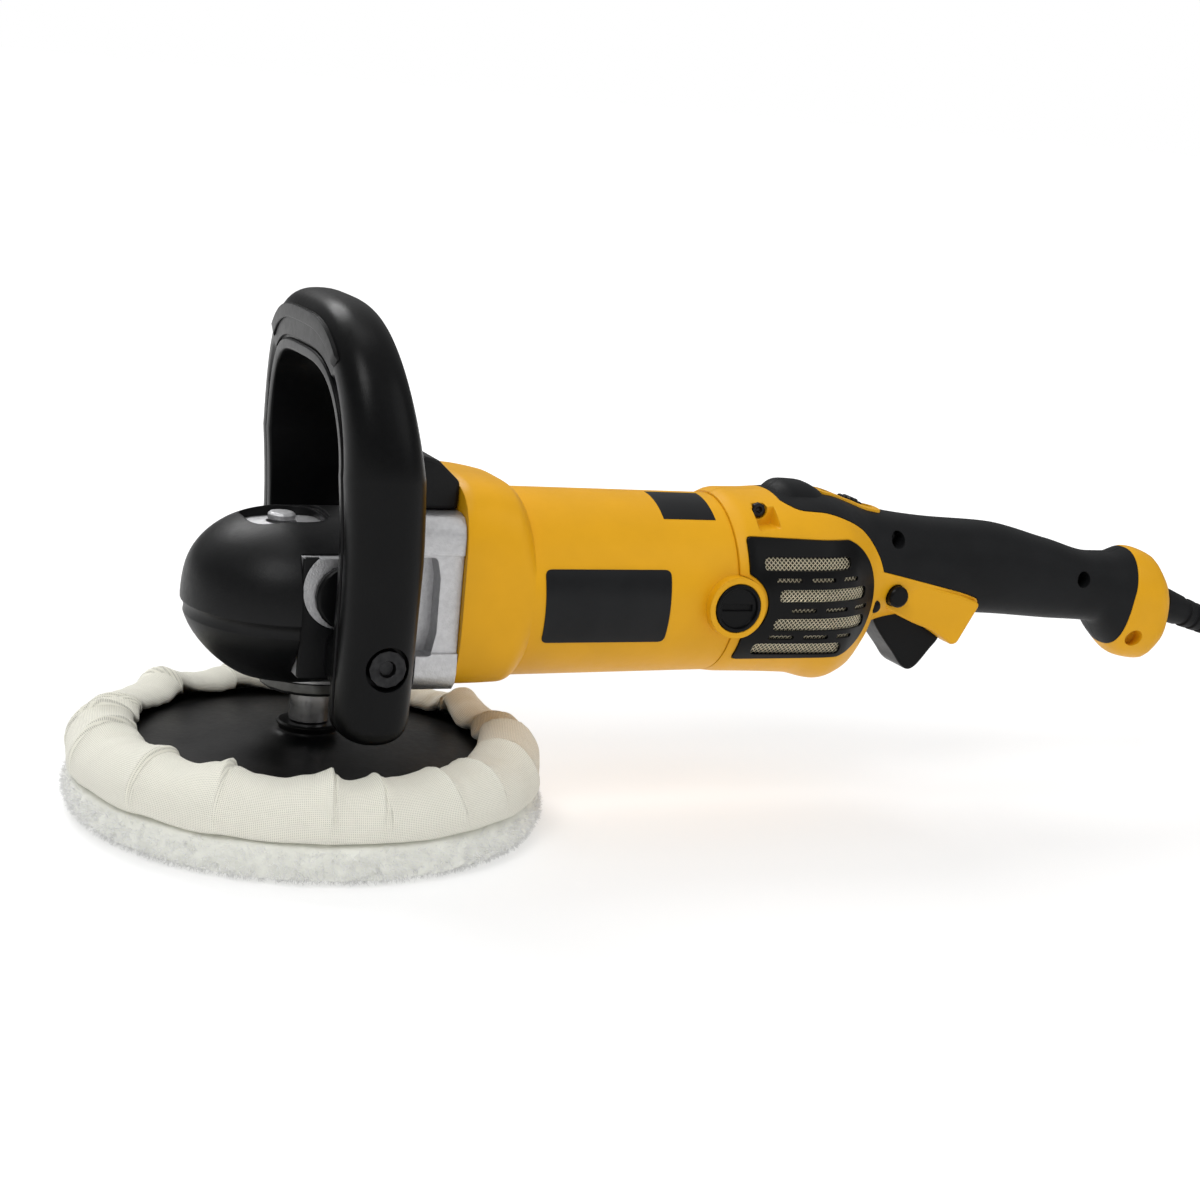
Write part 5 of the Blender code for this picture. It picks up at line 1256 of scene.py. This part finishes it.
class POLISHER_OT_plate(bpy.types.Operator):
    """Turns the backing plate with its flared hub"""
    bl_idname = "polisher.plate"
    bl_label = "Backing plate"

    def execute(self, context):
        cone = curve(((12.9, 37.4), (14.2, 36.2), (18.0, 35.2), (27.0, 34.2), (44.5, 32.7), (70.0, 31.2),
                      (86.5, 30.4)), 6)
        hub = ((PLATE_BORE, 41.0), (12.6, 41.0), (13.6, 40.7), (14.1, 40.1), (13.9, 39.4), (13.1, 38.4))
        rim = ((PLATE_RADIUS - 0.6, 30.1), (PLATE_RADIUS, 29.3), (PLATE_RADIUS, PLATE_UNDER + 0.2),
               (PLATE_RADIUS - 0.2, PLATE_UNDER))
        recess = ((25.0, PLATE_UNDER), (21.0, 33.4), (PLATE_BORE, 33.4))
        profile = hub + tuple(cone) + rim + recess
        plate = lathe("plate_skin", profile, Matrix.Identity(4), 128, "plate")
        fit(smooth(plate, 35), "plate", "spindle_group", "backing_plate")
        return {"FINISHED"}


class POLISHER_OT_bonnet(bpy.types.Operator):
    """Sews the pleated muslin over the rim of the backing plate"""
    bl_idname = "polisher.bonnet"
    bl_label = "Bonnet"

    def pleats(self, settings):
        """Irregular creases: where each starts, how high it stands and how far it slants."""
        dice = random.Random(settings.seed)
        shares = [dice.uniform(0.55, 1.6) for _ in range(settings.pleats)]
        total = sum(shares)
        at, rows = 0.0, []
        for share in shares:
            rows.append((at, dice.uniform(0.45, 1.0), dice.uniform(-0.10, 0.10)))
            at += 2 * math.pi * share / total
        return rows

    def lift(self, rows, starts, angle, s):
        """Height of the pleats at one place: each panel climbs slowly and drops at its crease."""
        slant = rows[bisect.bisect_right(starts, angle) - 1][2]
        lean = (angle - slant * (s - 0.6)) % (2 * math.pi)
        n = bisect.bisect_right(starts, lean) - 1
        start, tall, _ = rows[n]
        end = starts[n + 1] if n + 1 < len(starts) else 2 * math.pi
        u = (lean - start) / (end - start)
        next_tall = rows[(n + 1) % len(rows)][1]
        edge = 0.035
        saw = next_tall * (u / (1 - edge)) ** 3 if u < 1 - edge else next_tall * (1 - u) / edge
        saw += 0.35 * tall * math.exp(-(u / 0.12) ** 2) - 0.25 * math.sin(math.pi * u)
        return saw * ramp(s, 0.12, 0.45), math.sin(math.pi * u) * 0.5

    def place(self, angle, s, r, z, rise, spread):
        """Radius and height of the cloth at one angle and share of the way from seam to hem."""
        spot = Vector((math.cos(angle), math.sin(angle), 0))
        swell = 1.5 * noise.noise(spot * 3.3) + 0.8 * noise.noise(spot * 8 + Vector((0, 0, 3 * s)))
        tuck = noise.noise(spot * 15 + Vector((4, 0, 1.5 * s))) * ramp(s, 0.35, 0.3)
        wave = rise + tuck + swell * math.sin(math.pi * min(1.0, 0.1 + s))
        out = 0.8 if s < 0.35 else max(0.15, 0.8 - 2.2 * (s - 0.35))
        gather = 1.6 * noise.noise(spot * 5 + Vector((9, 0, 0))) + 2.0 * spread
        radius = r + wave * out - ramp(s, 0.55, 0.3) * gather
        height = z + wave * (1 - out) * (1.0 if s > 0.3 else 0.3)
        if s < 0.16:
            height += 0.9 * noise.noise(spot * 6 + Vector((0, 5, 0)))
        height = max(height, 16.2)
        if radius < PLATE_EDGE:
            height = max(height, PLATE_TOP + (PLATE_EDGE - radius) * 0.06 + 0.8)
        return radius, height

    def execute(self, context):
        settings = context.scene.polisher_cloth
        path = curve(BONNET_PATH, 3)
        rows = self.pleats(settings)
        starts = [row[0] for row in rows]
        weave = settings.weave / MM
        around, count = BONNET_SIDES, len(path)
        run = [0.0]
        for a, b in zip(path, path[1:]):
            run.append(run[-1] + math.dist(a, b))
        verts, uvs = [], []
        for i in range(around):
            angle = 2 * math.pi * i / around
            for j, (r, z) in enumerate(path):
                s = run[j] / run[-1]
                rise, spread = self.lift(rows, starts, angle, s)
                radius, height = self.place(angle, s, r, z, settings.depth / MM * rise, spread)
                verts.append((radius * math.cos(angle), radius * math.sin(angle), height))
                uvs.append((angle * BONNET_SEAM / weave, run[j] / weave))
        cloth = add_mesh("bonnet_cloth", verts, grid(around, count, joined=True), "cloth")
        self.weave(cloth, uvs, around, count, 2 * math.pi * BONNET_SEAM / weave)
        all_smooth(thicken(cloth, BONNET_THICK))
        fit(cloth, "cloth", "spindle_group", "bonnet_skirt")
        return {"FINISHED"}

    def weave(self, cloth, uvs, around, count, turn):
        """Coordinates in threads; the last panel goes on past the first one's."""
        layer = cloth.data.uv_layers.new(name="weave")
        for face in cloth.data.polygons:
            rows = [v // count for v in face.vertices]
            wraps = max(rows) == around - 1 and min(rows) == 0
            for loop, vertex, row in zip(face.loop_indices, face.vertices, rows):
                u, w = uvs[vertex]
                layer.data[loop].uv = (u + (turn if wraps and row == 0 else 0), w)


class POLISHER_OT_wool(bpy.types.Operator):
    """Fills the pad with lambswool: a soft core, with locks scattered over its edge"""
    bl_idname = "polisher.wool"
    bl_label = "Wool"

    def core(self):
        """Turned pad with an uneven edge."""
        path = curve(((60, 25), (88, 25), (92, 24), (94.5, 20), (99.0, 18.2), (102.2, 16.0), (104.0, 12.2),
                      (104.0, 8), (102.6, 4.6), (99.5, 2), (94.5, 0.5), (88, 0.0)), 3)
        path = [(0.01, 25)] + path + [(60, 0), (0.01, 0)]
        rings = []
        for i in range(420):
            a = 2 * math.pi * i / 420
            ring = []
            for r, z in path:
                spot = Vector((r * math.cos(a), r * math.sin(a), z))
                tuft = noise.noise(spot * 0.22) * 0.8 + noise.noise(spot * 0.55) * 0.5
                grow = tuft * min(1.0, max(0.0, (18.5 - z) / 3)) * min(1.0, z / 2) if r > 60 else 0.0
                ring.append(((r + grow) * math.cos(a), (r + grow) * math.sin(a), z))
            rings.append(ring)
        core = loft("wool_core", rings, "wool", joined=True)
        return smooth(core, 70)

    def lock(self):
        """One small curled lock of three fibres."""
        verts, faces = [], []
        for fibre in range(3):
            way, base = 2.1 * fibre, len(verts)
            for s in range(5):
                t = s / 4
                curl = 1.5 * t * t + 0.5 * math.sin(4.5 * t + fibre)
                bend = Vector((math.cos(way), math.sin(way), 0)) * curl
                at = bend + Vector((0.3 * math.cos(way), 0.3 * math.sin(way), 2.3 * t - 0.4))
                across = Vector((-math.sin(way), math.cos(way), 0)) * (0.17 - 0.11 * t)
                verts += [at - across, at + across]
            faces += [(base + 2 * s, base + 2 * s + 1, base + 2 * s + 3, base + 2 * s + 2) for s in range(4)]
        return add_mesh("wool_lock", verts, faces)

    def edge(self, tree):
        """True on the faces between the seam and the floor."""
        place = tree.add("GeometryNodeInputPosition").outputs["Position"]
        height = tree.add("ShaderNodeSeparateXYZ", {"Vector": place}).outputs["Z"]
        both = tree.add("FunctionNodeBooleanMath", operation="AND")
        for n, (how, limit) in enumerate((("LESS_THAN", 16.0), ("GREATER_THAN", 1.0))):
            inputs = {0: height, 1: limit * MM}
            level = tree.add("FunctionNodeCompare", inputs, data_type="FLOAT", operation=how)
            tree.feed(both, {n: level.outputs["Result"]})
        return both.outputs["Boolean"]

    def tumble(self, tree, upright):
        """Leans and turns each lock at random from the way its face points."""
        inputs = {"Min": (-0.7, -0.7, 0.0), "Max": (0.7, 0.7, 6.28), "Seed": tree.inlet["Seed"]}
        dice = tree.add("FunctionNodeRandomValue", inputs, data_type="FLOAT_VECTOR")
        shift = tree.add("FunctionNodeEulerToRotation", {"Euler": dice.outputs["Value"]})
        inputs = {"Rotation": upright, "Rotate By": shift.outputs["Rotation"]}
        turn = tree.add("FunctionNodeRotateRotation", inputs, rotation_space="LOCAL")
        return turn.outputs["Rotation"]

    def sizes(self, tree):
        """A random share of the set size."""
        share = tree.add("FunctionNodeRandomValue", {2: 0.55, 3: 1.15}, data_type="FLOAT")
        inputs = {0: share.outputs[1], 1: tree.inlet["Size"]}
        times = tree.add("ShaderNodeMath", inputs, operation="MULTIPLY")
        return times.outputs["Value"]

    def scatter(self, lock):
        """Geometry Nodes tree that plants the lock over the edge of the core."""
        tree = Tree("wool_scatter", Density="Float", Size="Float", Seed="Int")
        spread = tree.add("GeometryNodeDistributePointsOnFaces", {
            "Mesh": tree.inlet["Geometry"], "Selection": self.edge(tree),
            "Density": tree.inlet["Density"], "Seed": tree.inlet["Seed"]})
        piece = tree.add("GeometryNodeObjectInfo", {"Object": lock})
        plant = tree.add("GeometryNodeInstanceOnPoints", {
            "Points": spread.outputs["Points"], "Instance": piece.outputs["Geometry"],
            "Rotation": self.tumble(tree, spread.outputs["Rotation"]), "Scale": self.sizes(tree)})
        tree.finish(plant.outputs["Instances"], "wool")
        return tree

    def execute(self, context):
        settings = context.scene.polisher_wool
        core = self.core()
        locks = put("wool_locks", core.data.copy())
        tree = self.scatter(self.lock())
        tree.run(locks, Density=settings.density, Size=settings.length, Seed=settings.seed)
        for vertex in locks.data.vertices:
            vertex.co.z = max(vertex.co.z, 0.1 * MM)
        fit(core, "wool", "spindle_group", "wool_pile")
        fit(locks, "wool", "spindle_group")
        clear_shop()
        return {"FINISHED"}


def cord_route():
    """The lead from the boot to the coil, the two layers of the coil, then the tail to the plug."""
    total = 2 * COIL_TURNS + 0.5
    count = int(40 * total)
    outer = COIL_INNER + COIL_TURNS * COIL_PITCH
    coil = []
    for i in range(count + 1):
        turns = total * i / count
        angle = math.pi / 2 - 2 * math.pi * turns
        if turns < COIL_TURNS:
            r, z = outer - COIL_PITCH * turns, 0.0
        elif turns < COIL_TURNS + 0.5:
            s = (turns - COIL_TURNS) / 0.5
            r = COIL_INNER - COIL_DIP * math.sin(math.pi * s)
            z = COIL_PITCH * (1 - math.cos(math.pi * s)) / 2
        else:
            r, z = COIL_INNER + COIL_PITCH * (turns - COIL_TURNS - 0.5), COIL_PITCH
        coil.append(COIL_AT + Vector((r * math.cos(angle), r * math.sin(angle), z)))
    along = Vector((math.cos(CORD_SLOPE), 0, -math.sin(CORD_SLOPE)))
    start = Vector((END_X, 0, AXIS - CORD_DROP)) + along * (BOOT_LENGTH - 1)
    way = (coil[1] - coil[0]).normalized()
    first, last = start + along * 10, coil[0] - way * 18
    reach = (last - first).length
    lead = [start] + hermite(first, along * reach, last, way * reach, 30)
    stop = Vector((coil[-1].x - TAIL_LENGTH, coil[-1].y, PLUG_HALF + GAP))
    flat = Vector((-TAIL_LENGTH, 0, 0))
    tail = hermite(coil[-1], flat, stop + Vector((9, 0, 0)), flat, 10)
    return lead + coil + tail[1:] + [stop]


class POLISHER_OT_cord(bpy.types.Operator):
    """Lays the power cord from the boot into its tied coil, and ribs the boot"""
    bl_idname = "polisher.cord"
    bl_label = "Cord"

    def ribs(self, rib, start, step, turn):
        """Geometry Nodes tree that sets ever smaller ribs along the boot."""
        tree = Tree("boot_ribs", Ribs="Int", Shrink="Float")
        inputs = {"Count": tree.inlet["Ribs"], "Start Location": start * MM, "Offset": step * MM}
        line = tree.add("GeometryNodeMeshLine", inputs, mode="OFFSET")
        inputs = {0: tree.add("GeometryNodeInputIndex").outputs["Index"], 1: tree.inlet["Shrink"]}
        loss = tree.add("ShaderNodeMath", inputs, operation="MULTIPLY").outputs["Value"]
        left = tree.add("ShaderNodeMath", {0: 1.0, 1: loss}, operation="SUBTRACT").outputs["Value"]
        size = tree.add("ShaderNodeCombineXYZ", {"X": left, "Y": left, "Z": 1.0})
        piece = tree.add("GeometryNodeObjectInfo", {"Object": rib})
        plant = tree.add("GeometryNodeInstanceOnPoints", {
            "Points": line.outputs["Mesh"], "Instance": piece.outputs["Geometry"], "Rotation": turn,
            "Scale": size.outputs["Vector"]})
        both = tree.add("GeometryNodeJoinGeometry", {"Geometry": plant.outputs["Instances"]})
        tree.feed(both, {"Geometry": tree.inlet["Geometry"]})
        tree.finish(both.outputs["Geometry"], "grip")
        return tree

    def boot(self, settings):
        """Tapered sleeve with ribs round it."""
        long, bore = BOOT_LENGTH, CORD_RADIUS + 0.05
        sleeve = ((bore, long), (bore + 0.8, long), (bore + 1.0, long - 0.5), (bore + 0.4, long * 0.9),
                  (BOOT_ROOT - 2.0, long * 0.27), (BOOT_ROOT - 0.8, long * 0.22), (BOOT_ROOT, 5.5),
                  (BOOT_ROOT, 3.4), (bore, 3.4))
        place = Matrix.Translation((END_X, 0, AXIS - CORD_DROP))
        turn = place @ Matrix.Rotation(math.pi / 2 + CORD_SLOPE, 4, "Y")
        boot = smooth(lathe("boot_sleeve", sleeve, turn, 48, "grip"), 35)
        root = BOOT_ROOT - 1.1
        profile = ((bore, -1.9), (root - 0.4, -1.9), (root, -1.5), (root - 0.15, 1.5), (root - 0.6, 1.9),
                   (bore, 1.9))
        rib = lathe("rib", profile, Matrix.Identity(4), 48)
        start = turn @ Vector((0, 0, long * 0.31))
        step = turn.to_3x3() @ Vector((0, 0, 0.6 * long / settings.ribs))
        tree = self.ribs(rib, start, step, turn.to_euler())
        tree.run(boot, Ribs=settings.ribs, Shrink=0.21 / max(1, settings.ribs - 1))
        fit(smooth(boot, 35), "grip", "tool", "cord_boot")
        clear_shop()

    def tie(self):
        """A strap drawn tight round the coil, on the side away from the tool."""
        near = COIL_AT.x + COIL_INNER - COIL_DIP - CORD_RADIUS - TIE_SLACK
        far = COIL_AT.x + COIL_INNER + (COIL_TURNS - 0.25) * COIL_PITCH + CORD_RADIUS + TIE_SLACK
        low = COIL_AT.z - CORD_RADIUS - GAP - AXIS
        high = low + COIL_PITCH + 2 * CORD_RADIUS + 2 * GAP
        loops = [rectangle(near - grow, low - grow, far + grow, high + grow, CORD_RADIUS + grow, 8)
                 for grow in (0.0, TIE_THICK)]
        half = TIE_WIDE / 2
        strap = pulled("cord_tie_skin", loops[1], COIL_AT.y - half, COIL_AT.y + half, "cable")
        cut(strap, pulled("tie_bore", loops[0], COIL_AT.y - TIE_WIDE, COIL_AT.y + TIE_WIDE))
        fit(smooth(bake(strap), 40), "cable", "tool", "cord_tie")
        clear_shop()
        return strap

    def execute(self, context):
        self.boot(context.scene.polisher_lead)
        strap = self.tie()
        route = cord_route()
        data = bpy.data.curves.new("power_lead", "CURVE")
        data.dimensions = "3D"
        line = data.splines.new("POLY")
        line.points.add(len(route) - 1)
        for spot, where in zip(line.points, route):
            spot.co = (*(where * MM), 1.0)
        line.use_smooth = True
        data.bevel_depth = CORD_RADIUS * MM
        data.bevel_resolution = 5
        data.use_fill_caps = True
        data.materials.append(LOOKS["cable"])
        lead = put("power_lead", data)
        fit(lead, "cable", "tool", "power_cord", "cord_coil")
        return {"FINISHED"}


class POLISHER_OT_stage(bpy.types.Operator):
    """Sets the pale floor, the soft lights and the camera"""
    bl_idname = "polisher.stage"
    bl_label = "Stage"

    def light(self, name, power, size, at, aim):
        """A round area light turned to its aim."""
        data = bpy.data.lights.new(name, "AREA")
        data.energy = power
        data.shape = "DISK"
        data.size = size
        made = put(name, data)
        made.location = at
        made.rotation_mode = "QUATERNION"
        made.rotation_quaternion = (Vector(aim) - Vector(at)).to_track_quat("-Z", "Y")

    def sky(self, tree, settings):
        """White where it is seen; a softer dome, brighter overhead, for the light it gives."""
        nodes = Nodes(tree)
        seen = tree.nodes["Background"]
        nodes.feed(seen, {"Color": (1.0, 1.0, 1.0, 1)})
        place = nodes.add("ShaderNodeTexCoord").outputs["Generated"]
        height = nodes.add("ShaderNodeSeparateXYZ", {"Vector": place}).outputs["Z"]
        grey = nodes.blend(height, (0.0, (0.24, 0.24, 0.24)), (0.85, (1.0, 1.0, 1.0)))
        dome = nodes.add("ShaderNodeBackground", {"Color": grey, "Strength": settings.sky})
        path = nodes.add("ShaderNodeLightPath").outputs["Is Camera Ray"]
        mix = nodes.add("ShaderNodeMixShader", {"Fac": path, 1: dome.outputs["Background"],
                                                2: seen.outputs["Background"]})
        nodes.feed(tree.nodes["World Output"], {"Surface": mix.outputs["Shader"]})

    def execute(self, context):
        settings = context.scene.polisher_stage
        scene = context.scene
        scene.view_settings.view_transform = "Standard"
        world = bpy.data.worlds.new("studio")
        world.use_nodes = True
        self.sky(world.node_tree, settings)
        scene.world = world
        far = 30000
        corners = [(-far, -far, 0), (far, -far, 0), (far, far, 0), (-far, far, 0)]
        add_mesh("floor", corners, [(0, 1, 2, 3)], "floor")
        for name, (setting, share, size, at, aim) in LIGHTS.items():
            self.light(name, share * getattr(settings, setting), size, at, aim)
        self.camera(scene, settings.lens)
        return {"FINISHED"}

    def camera(self, scene, lens):
        """Camera that stands where the photo was taken."""
        data = bpy.data.cameras.new("camera")
        data.sensor_width = 36
        data.lens = lens
        data.shift_x, data.shift_y = CAMERA_SHIFT
        data.clip_start = 0.05
        camera = put("camera", data)
        camera.location = CAMERA_AT
        camera.rotation_euler = CAMERA_TURN
        scene.camera = camera


class POLISHER_PT_panel(bpy.types.Panel):
    """Buttons for each group of the polisher's looks"""
    bl_idname = "POLISHER_PT_panel"
    bl_label = "Polisher"
    bl_space_type = "VIEW_3D"
    bl_region_type = "UI"
    bl_category = "Polisher"

    def draw(self, context):
        for kind in OPERATORS:
            self.layout.operator(kind.bl_idname)
        for group in GROUPS:
            settings = getattr(context.scene, group)
            for key in settings.bl_rna.properties.keys():
                if key not in {"rna_type", "name"}:
                    self.layout.prop(settings, key)


OPERATORS = (POLISHER_OT_finishes, POLISHER_OT_gear_boot, POLISHER_OT_bail, POLISHER_OT_motor,
             POLISHER_OT_rear, POLISHER_OT_trigger, POLISHER_OT_plate, POLISHER_OT_bonnet,
             POLISHER_OT_wool, POLISHER_OT_cord, POLISHER_OT_stage)
GROUPS = {"polisher_colours": PolisherColours, "polisher_stage": PolisherStage,
          "polisher_shells": PolisherShells, "polisher_screen": PolisherScreen,
          "polisher_cloth": PolisherCloth, "polisher_wool": PolisherWool, "polisher_lead": PolisherLead}


def register():
    for kind in (*GROUPS.values(), *OPERATORS, POLISHER_PT_panel):
        bpy.utils.register_class(kind)
    for name, kind in GROUPS.items():
        setattr(bpy.types.Scene, name, PointerProperty(type=kind))


def unregister():
    for name in GROUPS:
        delattr(bpy.types.Scene, name)
    for kind in reversed((*GROUPS.values(), *OPERATORS, POLISHER_PT_panel)):
        bpy.utils.unregister_class(kind)


def main():
    register()
    for run in (bpy.ops.polisher.finishes, bpy.ops.polisher.gear_boot, bpy.ops.polisher.bail,
                bpy.ops.polisher.motor, bpy.ops.polisher.rear, bpy.ops.polisher.trigger,
                bpy.ops.polisher.plate, bpy.ops.polisher.bonnet, bpy.ops.polisher.wool,
                bpy.ops.polisher.cord, bpy.ops.polisher.stage):
        run()


if __name__ == "__main__":
    main()
